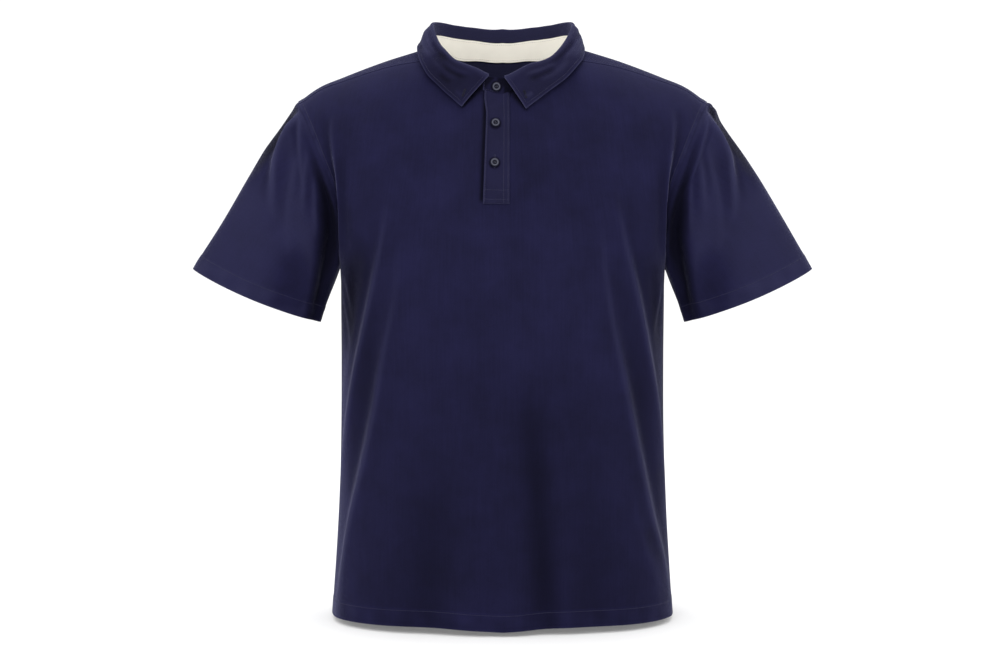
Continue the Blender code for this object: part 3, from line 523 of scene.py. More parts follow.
# A crease runs through rows of four numbers, all in thousandths: place along, place across, width, rise. On
# the body they are height (m), turn, m and m, and on a sleeve along, around, m and m. Its rise is 0 where it
# ends, unless it runs on past the hem or the cuff. "crest" is a thin ridge, "swell" a soft one.
FRONT_CREASES = [
    ("crest", (-195, -600, 4.8, 0), (-226, -610, 4.8, 1.4), (-258, -625, 5, 3), (-332, -678, 5.6, 4.4),
     (-421, -764, 6.4, 4.6), (-499, -843, 7.5, 3), (-560, -900, 8, 1.2), (-640, -940, 9, 0)),
    ("crest", (-255, -545, 6.6, 0), (-318, -558, 6.6, 1.2), (-382, -600, 6.6, 3.2), (-457, -643, 7, 4.6),
     (-539, -706, 7.2, 5), (-610, -770, 7.4, 4.4), (-675, -809, 8, 3), (-728, -830, 10, 1.2),
     (-780, -840, 10, 0)),
    ("crest", (-180, 600, 5, 0), (-215, 607, 5, 1.2), (-243, 622, 5.2, 2.6), (-319, 684, 5.8, 4.4),
     (-403, 759, 6.6, 4.6), (-477, 839, 7.2, 3.2), (-540, 890, 8, 1.4), (-610, 930, 9, 0)),
    ("crest", (-225, 522, 6.6, 0), (-285, 534, 6.6, 1.4), (-363, 574, 6.6, 3.4), (-434, 624, 7.2, 4.6),
     (-521, 689, 7.4, 4.8), (-603, 754, 7.6, 4.2), (-669, 834, 8, 2.6), (-728, 860, 10, 1),
     (-780, 870, 10, 0)),
    ("crest", (-550, 640, 7, 0), (-599, 669, 7, 1.2), (-639, 704, 7, 1.8), (-675, 754, 8, 1.2),
     (-728, 780, 9, 0)),
    ("crest", (-90, -890, 4, 0), (-110, -905, 4, 2.4), (-146, -915, 4.5, 4.6), (-185, -918, 5, 5.8),
     (-225, -918, 5, 5.6), (-265, -920, 6, 3), (-310, -930, 6, 0)),
    ("crest", (-80, 885, 4, 0), (-101, 900, 4, 2.4), (-140, 912, 4.5, 4.4), (-185, 918, 5, 5.6),
     (-225, 918, 5, 5.4), (-265, 920, 6, 2.8), (-310, 930, 6, 0)),
    ("crest", (-292, -868, 3.8, 0), (-312, -846, 3.8, 1.6), (-334, -822, 4, 1.4), (-356, -808, 4, 0)),
    ("crest", (-318, -884, 4, 0), (-340, -862, 4, 1.3), (-368, -838, 4.2, 1.1), (-392, -826, 4.2, 0)),
    ("crest", (-300, 872, 3.8, 0), (-322, 852, 3.8, 1.4), (-350, 830, 4, 1.2), (-376, 816, 4, 0)),
    ("swell", (-230, -700, 18, 0), (-295, -775, 24, -6.4), (-365, -825, 20, -6.2), (-430, -880, 16, -1.6),
     (-520, -930, 15, 0)),
    ("swell", (-240, 700, 18, 0), (-330, 800, 20, -4.5), (-430, 880, 18, -3), (-520, 930, 15, 0)),
    ("swell", (-300, -620, 17, 0), (-400, -690, 19, -3.6), (-500, -770, 19, -4), (-600, -860, 18, -3),
     (-700, -900, 18, 0)),
    ("swell", (-290, 600, 17, 0), (-400, 680, 19, -3.6), (-500, 750, 19, -4), (-600, 830, 18, -2.8),
     (-700, 900, 18, 0)),
    ("swell", (-120, -860, 12, 0), (-170, -872, 13, -3), (-230, -860, 16, -3), (-290, -820, 16, 0)),
    ("swell", (-120, 860, 12, 0), (-170, 872, 13, -3), (-230, 862, 16, -3.4), (-290, 820, 16, 0)),
    ("swell", (-420, 120, 22, 0), (-470, 160, 22, -3), (-595, 210, 22, -4.8), (-700, 236, 23, -5),
     (-760, 240, 24, -3)),
    ("swell", (-440, 0, 30, 0), (-510, 22, 32, 3.5), (-600, 50, 32, 5.5), (-694, 55, 32, 6),
     (-760, 55, 32, 5)),
    ("swell", (-460, -190, 34, 0), (-560, -175, 36, 3), (-660, -160, 38, 5.2), (-760, -150, 40, 5.2)),
    ("swell", (-480, -360, 30, 0), (-590, -380, 30, -2.6), (-690, -400, 30, -3), (-760, -410, 30, -2)),
    ("swell", (-500, 440, 30, 0), (-600, 450, 30, -2), (-700, 470, 30, -2.8), (-760, 480, 30, -1.8)),
    ("swell", (-200, -330, 30, 0), (-290, -360, 30, 2), (-400, -380, 34, 2.4), (-520, -400, 34, 0)),
    ("swell", (-220, 300, 30, 0), (-310, 330, 30, 1.8), (-400, 360, 32, 2.2), (-500, 380, 32, 0)),
    ("swell", (-30, -560, 12, 0), (-70, -640, 13, 1.2), (-110, -720, 14, 1.4), (-150, -780, 14, 0)),
    ("swell", (-35, 620, 12, 0), (-80, 700, 12, 1.2), (-130, 770, 14, 1.2), (-170, 800, 14, 0)),
]
BACK_CREASES = [
    ("crest", (-180, -600, 7, 0), (-240, -625, 7, 2.8), (-330, -690, 7.2, 4.4), (-430, -770, 7.8, 4.4),
     (-520, -850, 8.2, 2.8), (-600, -900, 9, 0)),
    ("crest", (-240, -500, 8, 0), (-320, -525, 8, 3), (-430, -590, 8, 4.4), (-540, -670, 8, 4.4),
     (-640, -740, 8.5, 3), (-740, -780, 10, 0)),
    ("crest", (-190, 610, 7, 0), (-260, 640, 7, 3), (-350, 710, 7, 4.6), (-440, 790, 7.8, 4.2),
     (-530, 860, 8.2, 2.4), (-610, 900, 9, 0)),
    ("crest", (-260, 470, 8, 0), (-350, 510, 8, 2.8), (-460, 570, 8, 4.2), (-560, 640, 8, 4.4),
     (-660, 720, 8.5, 2.6), (-750, 760, 10, 0)),
    ("crest", (-90, -900, 5, 0), (-140, -915, 5, 3), (-200, -920, 5.5, 3.4), (-255, -915, 6, 0)),
    ("crest", (-85, 905, 5, 0), (-130, 915, 5, 2.8), (-190, 925, 5.5, 3.6), (-250, 915, 6, 0)),
    ("swell", (-260, -600, 18, 0), (-380, -660, 20, -4), (-490, -740, 20, -4.2), (-620, -840, 18, 0)),
    ("swell", (-270, 580, 18, 0), (-390, 640, 20, -4), (-500, 720, 20, -4.4), (-630, 820, 18, 0)),
    ("swell", (-330, -300, 30, 0), (-450, -320, 32, 4.4), (-580, -340, 34, 6.6), (-760, -360, 36, 6.6)),
    ("swell", (-300, -110, 28, 0), (-420, -120, 30, -3.6), (-560, -140, 30, -5.6), (-760, -150, 32, -5.6)),
    ("swell", (-360, 60, 28, 0), (-480, 60, 32, 4), (-620, 70, 34, 6), (-760, 80, 34, 6)),
    ("swell", (-320, 240, 24, 0), (-450, 250, 26, -3.4), (-600, 270, 28, -5), (-760, 280, 28, -4.6)),
    ("swell", (-380, 420, 28, 0), (-520, 430, 30, 3.8), (-640, 450, 32, 5.6), (-760, 460, 32, 5.4)),
    ("swell", (-60, -300, 20, 0), (-130, -420, 22, 2.2), (-210, -520, 22, 2.6), (-290, -580, 22, 0)),
    ("swell", (-70, 330, 20, 0), (-140, 440, 22, 2.2), (-230, 540, 24, 2.4), (-310, 600, 24, 0)),
]
LEFT_SLEEVE_CREASES = [
    ("crest", (0, 430, 7, 0), (60, 424, 7, 4.4), (135, 416, 6.8, 6), (260, 408, 6.8, 6.2),
     (335, 392, 7, 5.6), (390, 366, 7.2, 4.4), (460, 338, 7.6, 3), (560, 300, 9, 0)),
    ("crest", (10, 430, 5, 0), (45, 415, 5, 2.6), (100, 368, 5, 3), (130, 290, 5, 2.2), (150, 223, 5, 1.2),
     (180, 180, 6, 0)),
    ("swell", (40, 330, 10, 0), (110, 228, 12, -7), (230, 155, 16, -12), (420, 105, 17, -13),
     (600, 80, 18, -11), (800, 65, 18, -8), (1050, 60, 18, -5)),
    ("crest", (80, 290, 5, 0), (150, 252, 4.5, 1.8), (240, 215, 5, 2), (340, 187, 6, 0.8),
     (420, 172, 7, 0)),
    ("crest", (70, 335, 4, 0), (180, 298, 4.5, 1.5), (300, 258, 5, 1.2), (380, 238, 6, 0)),
    ("crest", (140, 352, 5, 0), (270, 318, 6, 0.8), (420, 280, 7, 1), (640, 222, 9, 0)),
    ("swell", (130, 478, 12, 0), (230, 474, 15, -4.4), (340, 464, 18, -5.6), (460, 446, 20, -3.4),
     (600, 430, 22, 0)),
    ("swell", (-20, 520, 20, 0), (60, 515, 22, 2.2), (130, 512, 20, 2.6), (240, 510, 18, 0)),
    ("swell", (150, 390, 14, 0), (280, 358, 16, -1.2), (420, 320, 17, -1.4), (560, 280, 18, 0)),
    ("swell", (450, 330, 24, 0), (620, 290, 26, 2.6), (800, 270, 28, 3), (1050, 260, 28, 1.6)),
    ("swell", (500, 190, 20, 0), (700, 180, 22, -2.6), (880, 170, 22, -2.6), (1050, 165, 22, -1.4)),
    ("crest", (20, 560, 6, 0), (120, 572, 6, 4.6), (250, 595, 6.5, 5.6), (380, 640, 7, 4),
     (500, 690, 8, 0)),
    ("swell", (60, 680, 10, 0), (160, 760, 14, -5.6), (320, 840, 16, -9), (520, 890, 17, -8),
     (780, 920, 17, -4), (950, 930, 17, 0)),
    ("crest", (140, 690, 6, 0), (260, 740, 6, 2.6), (400, 780, 7, 2.8), (560, 810, 8, 0)),
    ("swell", (400, 700, 22, 0), (600, 730, 24, 2.6), (800, 750, 26, 3), (1050, 760, 26, 1.6)),
]
RIGHT_SLEEVE_CREASES = [
    ("crest", (0, 430, 7, 0), (50, 424, 7, 4.4), (110, 420, 6.8, 6.6), (210, 420, 6.8, 6.8),
     (280, 409, 6.8, 6.4), (330, 394, 7, 5.6), (425, 348, 7.6, 3.6), (540, 300, 9, 0)),
    ("crest", (5, 425, 5, 0), (35, 411, 5, 2.8), (80, 385, 5, 3.2), (125, 357, 5, 2.8),
     (190, 310, 5.5, 1.8), (260, 260, 6, 0)),
    ("swell", (40, 310, 10, 0), (100, 225, 12, -7.6), (220, 150, 16, -13), (345, 115, 17, -14),
     (500, 88, 18, -12.5), (700, 70, 18, -9.5), (880, 62, 18, -7), (1050, 60, 18, -5)),
    ("crest", (90, 275, 5, 0), (160, 245, 4.5, 1.8), (250, 210, 5, 2.1), (330, 184, 6, 1),
     (400, 170, 7, 0)),
    ("crest", (60, 330, 4, 0), (170, 292, 4.5, 1.6), (280, 255, 5, 1.2), (360, 232, 6, 0)),
    ("crest", (160, 345, 5, 0), (290, 305, 6, 0.8), (440, 262, 7, 1), (660, 210, 9, 0)),
    ("swell", (60, 482, 12, 0), (160, 476, 14, -4.4), (300, 466, 18, -6), (440, 448, 20, -3.6),
     (600, 430, 22, 0)),
    ("swell", (420, 505, 22, 0), (600, 500, 24, -2.6), (780, 498, 24, -3), (960, 498, 22, 0)),
    ("swell", (140, 395, 14, 0), (260, 364, 16, -1.2), (400, 325, 17, -1.4), (540, 280, 18, 0)),
    ("swell", (440, 340, 24, 0), (600, 300, 26, 2.8), (800, 275, 28, 2.8), (1050, 265, 28, 1.4)),
    ("swell", (480, 190, 20, 0), (680, 180, 22, -2.6), (880, 170, 22, -2.4), (1050, 165, 22, -1.2)),
    ("crest", (15, 555, 6, 0), (110, 568, 6, 4.4), (230, 588, 6.5, 5.4), (370, 630, 7, 4.4),
     (520, 690, 8, 0)),
    ("swell", (50, 680, 10, 0), (150, 750, 14, -5.4), (340, 840, 16, -9.2), (540, 890, 17, -7.8),
     (760, 920, 17, -4), (950, 930, 17, 0)),
    ("crest", (160, 700, 6, 0), (280, 745, 6, 2.4), (410, 785, 7, 2.6), (560, 815, 8, 0)),
    ("swell", (420, 690, 22, 0), (620, 720, 24, 2.6), (800, 740, 26, 2.8), (1050, 750, 26, 1.4)),
]

# Small creases of the leaf, each from one angle round the neck and share down the fall to another
LEAF_CREASES = [
    # from_angle, from_share, to_angle, to_share, width, rise
    (-166.0, 0.14, -128.0, 0.34, 0.0040, 0.0008),
    (-162.0, 0.26, -130.0, 0.46, 0.0036, -0.0008),
    (-156.0, 0.42, -118.0, 0.58, 0.0042, 0.0007),
    (-150.0, 0.62, -134.0, 0.74, 0.0032, -0.0006),
    (-138.0, 0.08, -108.0, 0.24, 0.0040, -0.0007),
    (-128.0, 0.20, -96.0, 0.34, 0.0036, 0.0008),
    (-124.0, 0.46, -92.0, 0.66, 0.0044, 0.0009),
    (-112.0, 0.60, -84.0, 0.78, 0.0036, -0.0008),
    (-104.0, 0.16, -70.0, 0.40, 0.0042, 0.0009),
    (-92.0, 0.36, -60.0, 0.50, 0.0040, -0.0007),
    (164.0, 0.16, 124.0, 0.30, 0.0040, 0.0007),
    (160.0, 0.34, 132.0, 0.46, 0.0038, -0.0008),
    (154.0, 0.48, 118.0, 0.62, 0.0044, 0.0006),
    (140.0, 0.12, 104.0, 0.26, 0.0040, -0.0007),
    (130.0, 0.30, 92.0, 0.44, 0.0038, 0.0009),
    (122.0, 0.54, 84.0, 0.72, 0.0042, 0.0008),
    (108.0, 0.20, 76.0, 0.36, 0.0036, -0.0008),
    (100.0, 0.10, 64.0, 0.28, 0.0040, 0.0009),
    (92.0, 0.46, 60.0, 0.60, 0.0040, 0.0007),
    (-60.0, 0.26, -26.0, 0.42, 0.0050, 0.0008),
    (-40.0, 0.56, -8.0, 0.50, 0.0046, -0.0007),
    (-16.0, 0.34, 18.0, 0.26, 0.0050, 0.0007),
    (6.0, 0.60, 40.0, 0.66, 0.0044, 0.0006),
    (22.0, 0.44, 60.0, 0.32, 0.0050, 0.0008),
    (-168.0, 0.72, -156.0, 0.84, 0.0028, 0.0005),
    (169.0, 0.66, 158.0, 0.82, 0.0028, 0.0006),
]

# How much paler (above 0) or darker (below 0) the leaf is round the neck, from its right point to its left
LEAF_TONES = [
    # angle, tone
    (-174.0, -0.10),
    (-150.0, -0.42),
    (-128.0, -0.30),
    (-112.0, 0.10),
    (-90.0, 0.40),
    (-60.0, 0.30),
    (0.0, 0.10),
    (60.0, 0.25),
    (90.0, 0.34),
    (112.0, 0.12),
    (130.0, -0.10),
    (150.0, -0.12),
    (174.0, 0.00),
]

# A crest's section, in its own widths
CREST_INNER = 1.7
CREST_OUTER = 0.62
CREST_TROUGH_AT = 2.1
CREST_TROUGH_WIDTH = 1.3
CREST_TROUGH = 0.45
# The rises at which a crest gets its full painted highlight and a hollow its full painted shade, and how
# strong these are
CREST_FULL = 0.0055
SWELL_FULL = 0.0090
CREST_SHADE = 0.40
SHADE_OVER_HIGHLIGHT = 0.7
RIDGE_HIGHLIGHT = 0.75
CREASE_STEP = 0.001

# Seams and hems
HEM_DEPTH = 0.0215
CUFF_DEPTH = 0.0215
HEM_LIFT = 0.00050
HEM_STEP = 0.0007
GROOVE_DEPTH = 0.00032
GROOVE_WIDTH = 0.0009
ARMHOLE_BAND = 0.0062
ARMHOLE_LIFT = 0.0009
SHOULDER_BAND = 0.0058
SHOULDER_LIFT = 0.0007
PUCKER_LENGTH = 0.011
PUCKER_RISE = 0.00016
PUCKER_REACH = 0.006
LEAF_STITCH_IN = 0.0048

# Stitches: how far in from a raised band's end they run, and one thread bead by rings of (share, size)
STITCH_IN = 0.0012
STITCH_LENGTH = 0.0021
STITCH_PITCH = 0.0028
STITCH_RADIUS = 0.00030
BEAD_SIDES = 6
BEAD_RINGS = ((0.0, 0.35), (0.22, 1.0), (0.78, 1.0), (1.0, 0.35))
BEAD_FLAT = 0.8

# The armhole seam's sunk stretch: its depth, and how far it reaches into the body and the sleeve
DIP_FRONT = 0.0150
DIP_BACK = 0.0110
DIP_IN_BODY = 0.0200
DIP_IN_SLEEVE = 0.0600
# Which way it sinks, towards the middle and inwards, and how dark its painted shade gets
DIP_ASIDE = 0.35
DIP_IN = 0.94
DIP_SHADE = 0.75

# The placket's free edge runs out to the stand's end at its top
PLACKET_FLARE = 0.0032
PLACKET_FLARE_FROM_Z = -0.0920
PLACKET_FLARE_TO_Z = -0.0680

# The leaf's front edges, from the stand to each point, with the side on which they shade what lies behind
LEAF_FRONTS = [
    # start_x, start_z, end_x, end_z, away
    (-0.0165, -0.0440, -0.0500, -0.0800, 1.0),
    (0.0000, -0.0470, 0.0295, -0.0840, -1.0),
]
LEAF_SHADE = 1.1
LEAF_SHADE_WIDE = 0.0075
LEAF_SHADE_THIN = 0.0028

# The slit's edges: how they are looked for, and how far below the slit its columns start to bend to them
SLIT_START_WIDTH = 0.21
SLIT_STEPS = 8
SLIT_TURN_STEP = 0.001
SLIT_EASE = 0.15

# How far the sleeve and the stand run on under the seam that holds them
SLEEVE_TUCK = -0.0040
STAND_TUCK = 0.0005

# How finely the shells are made: the body's last rows lie closer together, in levels short of the top, and
# more columns run along the placket's free edge
BODY_COLUMNS = 176
COLUMN_SPREAD = 0.96
LOW_ROWS = 128
HIGH_ROWS = 96
HEM_ROW_PITCH = 0.00105
LAST_ROWS = (0.014, 0.009, 0.004)
EDGE_COLUMNS = np.linspace(-0.128, -0.094, 12)
SLEEVE_AROUND = 190
SLEEVE_ALONG = 92
FALL_ROWS = 40
LEAF_COLUMNS = 330


def creased(across, along, creases, across_size, along_size, middle=0.0):
    """The creases' lift at (across, along), and their painted light: up to 1 for a painted highlight on a
    thin ridge, down to -1 for painted shade in a deep hollow.

    A crest rises gently on the side of the middle and falls off steeply on the other, and on a sleeve the
    other way round.
    """
    lift, crease_light_and_shade, hollow_shade = np.zeros((3, *np.broadcast(across, along).shape))
    for kind, *rows in creases:
        rows = np.array(sorted(rows)) / 1000.0
        here, width, rise = np.moveaxis(through(rows, along), -1, 0)
        slope = (through(rows, along + CREASE_STEP)[..., 0] - here) / CREASE_STEP * across_size / along_size
        aside = (across - here) * across_size / np.sqrt(1.0 + slope**2) / width
        if kind == "crest":
            away = aside * (np.sign(here) if middle == 0.0 else np.sign(middle - here))
            beside = bell(away - CREST_TROUGH_AT, CREST_TROUGH_WIDTH)
            # Clipped only so that cosh doesn't overflow
            flank = np.clip(away / np.where(away < 0.0, CREST_INNER, CREST_OUTER), -30.0, 30.0)
            profile = 1.0 / np.cosh(flank) - beside * CREST_TROUGH
            strength = np.clip(rise / CREST_FULL, 0.0, 1.0)
            # A painted highlight along the crest's top, and painted shade in the trough beside it
            crease_light_and_shade = np.maximum(crease_light_and_shade, strength * bell(aside, CREST_OUTER))
            hollow_shade = np.maximum(hollow_shade, CREST_SHADE * strength * beside)
        else:
            profile = bell(aside, 1.0)
            hollow_shade = np.maximum(hollow_shade, np.clip(-rise / SWELL_FULL, 0.0, 1.0) * profile)
        lift = lift + rise * profile
    return lift, crease_light_and_shade * (1.0 - SHADE_OVER_HIGHLIGHT * hollow_shade) - hollow_shade


def seam_dip(over):
    """How deep the armhole seam sinks, by turn over the shoulder: most above the underarm, on both faces."""
    front = after(over, 1.0, 12.0) * before(over, 56.0, 34.0)
    back = before(over, 179.0, 12.0) * after(over, 124.0, 34.0)
    return DIP_FRONT * front + DIP_BACK * back


def hem_rub(along, above, depth, start):
    """The paler, mottled wear of a hem's doubled band."""
    mottle = np.sin(along / 0.0049 + start) + 0.7 * np.sin(along / 0.0113 + above / 0.004 + 2.0 * start)
    return (0.12 + 0.07 * mottle) * before(above, depth, 0.002)


def under_leaf(points):
    """How deep places in front lie in the shade of the leaf's two front edges, from 0 to 1."""
    x, z = points[..., 0], points[..., 2]
    found = np.zeros(x.shape)
    for start_x, start_z, end_x, end_z, away in LEAF_FRONTS:
        run = np.hypot(end_x - start_x, end_z - start_z)
        way_x, way_z = (end_x - start_x) / run, (end_z - start_z) / run
        along = ((x - start_x) * way_x + (z - start_z) * way_z) / run
        aside = ((z - start_z) * way_x - (x - start_x) * way_z) * away
        reach = LEAF_SHADE_WIDE + (LEAF_SHADE_THIN - LEAF_SHADE_WIDE) * np.clip(along, 0.0, 1.0)
        inside = after(along, -0.25, 0.2) * before(along, 1.12, 0.15)
        found = np.maximum(found, smooth(1.35 - np.abs(aside) / reach) * inside)
    return found


def body_over(turn, level, side):
    """The turn over the shoulder that the front or the back has at a place above the underarm."""
    end_over = through(column_ends(side), turn)[..., 1]
    foot_over = 0.0 if side < 0 else 180.0
    return foot_over + (end_over - foot_over) * np.clip(level - 1.0, 0.0, 1.0)


def body_creases(turn, height, side):
    """The creases of the front (side -1) or the back (1), which die out at the seams."""
    rows = FRONT_CREASES if side < 0 else BACK_CREASES
    lift, crease_light_and_shade = creased(turn, height, rows, QUARTER_LENGTH, 1.0)
    free = smooth((1.0 - np.abs(turn)) / FOLD_FREE_TURN)
    return lift * free, crease_light_and_shade * free


def front_face(turn, level):
    """A point of the front's outer face, with its creases but no seams."""
    plain = plain_body(turn, level, -1)
    lift, _ = body_creases(turn, plain[..., 2], -1)
    return plain + outward(lambda a, b: plain_body(a, b, -1), turn, level) * lift[..., None]


def on_front(x, z, lift=0.0):
    """The point of the front's outer face straight behind (x, z), moved out by lift, and its normal."""
    x, z = np.broadcast_arrays(np.asarray(x, float), np.asarray(z, float))
    turn = x - NECK_FRONT_SHIFT / 2.0
    level = np.minimum(1.0 + (z - UNDERARM_Z) / (PLACKET_EDGES[-1][0] - UNDERARM_Z), 2.0)
    for _ in range(ON_FRONT_STEPS):
        turn_step, level_step = newton_steps(front_face, turn, level, (x, z), (0, 2), (1e-4, -1e-4))
        turn = np.clip(turn + turn_step, -ON_FRONT_TURN, ON_FRONT_TURN)
        level = np.clip(level + level_step, ON_FRONT_LEVEL, 2.0)
    normal = outward(front_face, turn, level)
    return front_face(turn, level) + normal * lift, normal


def run_length(points, axis):
    """Lengths along the grid's lines on that axis, from the first line on."""
    step = np.linalg.norm(np.diff(points, axis=axis), axis=-1)
    first = np.zeros_like(np.take(step, [0], axis=axis))
    return np.concatenate([first, np.cumsum(step, axis=axis)], axis=axis)


def left_below(points):
    """Lengths along the grid's columns, from its last row up."""
    return run_length(points[::-1], 0)[::-1]


def grid_normals(points, wanted, tube=False):
    """Unit normals of a grid of points, on the side of the wanted ones."""
    if tube:
        wide = np.concatenate([points[:, -1:], points, points[:, :1]], axis=1)
        over = wide[:, 2:] - wide[:, :-2]
    else:
        over = np.gradient(points, axis=1)
    normal = unit(np.cross(over, np.gradient(points, axis=0)))
    return -normal if (normal * wanted).sum() < 0.0 else normal


def band(distance, width, lift, step=HEM_STEP):
    """A raised band from 0 to width from an edge."""
    return lift * smooth((width - distance) / step + 0.5)


def groove(distance, at):
    """The trough that a row of stitches draws."""
    return -GROOVE_DEPTH * bell(distance - at, GROOVE_WIDTH)


def puckers(along, distance, at, seed):
    """Small uneven ripples beside a row of stitches, along it by metres."""
    place = along / PUCKER_LENGTH
    wave = np.sin(place * 6.283 + seed) + 0.7 * np.sin(place * 2.9 + 2.0 * seed)
    wave = wave + 0.5 * np.sin(place * 9.7 + 3.0 * seed)
    return PUCKER_RISE * wave * bell(distance - at, PUCKER_REACH)


def sewn_band(distance, along, width, lift, seed, fade=1.0):
    """A raised band from an edge, with the trough and the fading puckers of the stitches near its end."""
    raised = band(distance, width, lift) + groove(distance, width - STITCH_IN)
    return raised + puckers(along, distance, width, seed) * fade


# ---- Meshes ----


def build_mesh(name, points, quads, uvs=None, wear_and_shading=None):
    """A mesh of four-sided faces from arrays, with its cloth map in metres and its wear, painted highlights
    and painted shade.
    """
    mesh = bpy.data.meshes.new(name)
    mesh.vertices.add(len(points))
    mesh.vertices.foreach_set("co", np.asarray(points, np.float32).ravel())
    mesh.loops.add(quads.size)
    mesh.loops.foreach_set("vertex_index", quads.astype(np.int32).ravel())
    mesh.polygons.add(len(quads))
    mesh.polygons.foreach_set("loop_start", np.arange(0, quads.size, quads.shape[1], dtype=np.int32))
    mesh.update(calc_edges=True)
    if uvs is not None:
        mesh.uv_layers.new(name="cloth").data.foreach_set("uv", uvs.astype(np.float32).ravel())
    # One value per point: pale wear and painted highlights above 0, painted shade below 0
    if wear_and_shading is not None:
        layer = mesh.attributes.new("wear_and_shading", "FLOAT", "POINT")
        layer.data.foreach_set("value", np.asarray(wear_and_shading, np.float32).ravel())
    mesh.validate()
    mesh.shade_smooth()
    return mesh


def piece(name, mesh, finish, nodes=()):
    """An object for the mesh in the finish's material, which rides with the shirt and stands for these nodes.
    """
    material, slot = finish
    made = bpy.data.objects.new(name, mesh)
    mesh.materials.append(material)
    bpy.context.scene.collection.objects.link(made)
    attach(made, "root")
    if nodes:
        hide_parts(*nodes)
    return made


def shell(name, node, finish, outer, normal, thickness, across, along, wear_and_shading, tube=False, skip=None):
    """A piece whose outer face is the grid of points and whose wall lies behind it."""
    rows, columns = outer.shape[:2]
    count = rows * columns
    inner = outer - normal * np.asarray(thickness)[..., None] * np.ones((rows, columns, 1))
    points = np.concatenate([outer.reshape(-1, 3), inner.reshape(-1, 3)])
    wide = columns if tube else columns - 1
    row, column = np.meshgrid(np.arange(rows - 1), np.arange(wide), indexing="ij")
    after_it = (column + 1) % columns
    corners = [(row, column), (row, after_it), (row + 1, after_it), (row + 1, column)]
    quads = np.stack([a * columns + b for a, b in corners], axis=-1)
    # A tube's across runs on to the end of its round, so its column after the last isn't the first
    map_u = np.stack([across[row, column], across[row, column + 1], across[row + 1, column + 1],
                      across[row + 1, column]], axis=-1)
    map_v = np.stack([along[a, b] for a, b in corners], axis=-1)
    maps = np.stack([map_u, map_v], axis=-1)
    keep = np.ones((rows - 1, wide), bool) if skip is None else ~skip
    quads, maps = quads[keep], maps[keep]
    corner = points[quads]
    facing = np.cross(corner[:, 1] - corner[:, 0], corner[:, 3] - corner[:, 0])
    if (facing * normal.reshape(-1, 3)[quads[:, 0]]).sum() < 0.0:
        quads, maps = quads[:, ::-1], maps[:, ::-1]
    starts = quads.ravel()
    ends = np.roll(quads, -1, axis=1).ravel()
    # An edge that no other face runs along the other way is on the rim
    lone = ~np.isin(starts.astype(np.int64) * count + ends, ends.astype(np.int64) * count + starts)
    rim_maps = np.stack([np.roll(maps, -1, axis=1).reshape(-1, 2)[lone], maps.reshape(-1, 2)[lone]], axis=1)
    starts, ends = starts[lone], ends[lone]
    rim = np.stack([ends, starts, starts + count, ends + count], axis=1)
    rim_maps = np.concatenate([rim_maps, rim_maps[:, ::-1]], axis=1)
    faces = np.concatenate([quads, quads[:, ::-1] + count, rim])
    uvs = np.concatenate([maps, maps[:, ::-1], rim_maps])
    wear_and_shading = np.broadcast_to(np.clip(wear_and_shading, -1.0, 1.0), (rows, columns)).reshape(-1)
    used = np.unique(faces)
    renumber = np.zeros(2 * count, np.int64)
    renumber[used] = np.arange(len(used))
    mesh = build_mesh(name, points[used], renumber[faces], uvs, np.concatenate([wear_and_shading, wear_and_shading])[used])
    mesh.set_sharp_from_angle(angle=math.radians(50.0))
    return piece(name, mesh, finish, [node])


def beads(starts, ends, normals, radius):
    """Points and faces of one rounded thread bead from each start to each end."""
    way = ends - starts
    length = np.linalg.norm(way, axis=-1, keepdims=True)
    way = way / np.maximum(length, 1e-9)
    side = unit(np.cross(way, normals))
    up = np.cross(side, way)
    rings, local = [], []
    for share, size in BEAD_RINGS:
        for turn in range(BEAD_SIDES):
            angle = 2.0 * math.pi * turn / BEAD_SIDES
            spread = side * math.cos(angle) + up * math.sin(angle) * BEAD_FLAT
            rings.append(starts + way * length * share + spread * radius * size)
    points = np.stack(rings, axis=1)
    for base in range(0, 3 * BEAD_SIDES, BEAD_SIDES):
        for turn in range(BEAD_SIDES):
            low, low_next = base + turn, base + (turn + 1) % BEAD_SIDES
            local.append([low, low_next, low_next + BEAD_SIDES, low + BEAD_SIDES])
    top = 3 * BEAD_SIDES
    local += [[0, 3, 2, 1], [0, 5, 4, 3], [top, top + 1, top + 2, top + 3], [top, top + 3, top + 4, top + 5]]
    faces = (np.arange(len(points)) * points.shape[1])[:, None, None] + np.array(local)[None]
    return points.reshape(-1, 3), faces.reshape(-1, 4)


def stitch_row(points, normals, radius=STITCH_RADIUS):
    """Thread beads along a line on the cloth, each half sunk in it."""
    run = run_length(points, 0)
    starts_at = np.arange(STITCH_PITCH * 0.4, run[-1] - STITCH_LENGTH, STITCH_PITCH)

    def there(values, at):
        return np.stack([np.interp(at, run, values[:, i]) for i in range(3)], axis=-1)

    upright = unit(there(normals, starts_at))
    raised = upright * radius * 0.25
    starts, ends = there(points, starts_at), there(points, starts_at + STITCH_LENGTH)
    return beads(starts + raised, ends + raised, upright, radius)


def stitched_at(outer, normal, distance, at):
    """Thread beads through the place on each row of the grid where a distance that grows along it is this."""
    def there(values):
        pairs = zip(distance, values)
        return np.array([[np.interp(at, key, line[:, i]) for i in range(3)] for key, line in pairs])

    return stitch_row(there(outer), unit(there(normal)))


def stitched_across(outer, normal, distance, columns, at):
    """The same for these columns, where the distance grows from the last row up."""
    return stitched_at(*(grid[::-1, columns].swapaxes(0, 1) for grid in (outer, normal, distance)), at)


def from_ends(across):
    """For either end of the grid's rows: the way through them, and the distance from that end."""
    return (slice(None), across), (slice(None, None, -1), across[:, -1:] - across)


def nearest(values, wanted):
    """The index of the value nearest to the wanted one."""
    return int(np.argmin(np.abs(values - wanted)))


def stitches(name, rows, finish):
    """One piece of all these rows of thread beads."""
    starts = np.cumsum([0] + [len(points) for points, _ in rows])
    faces = np.concatenate([some + start for (_, some), start in zip(rows, starts)])
    return piece(name, build_mesh(name, np.concatenate([points for points, _ in rows]), faces), finish)


# ---- Materials ----


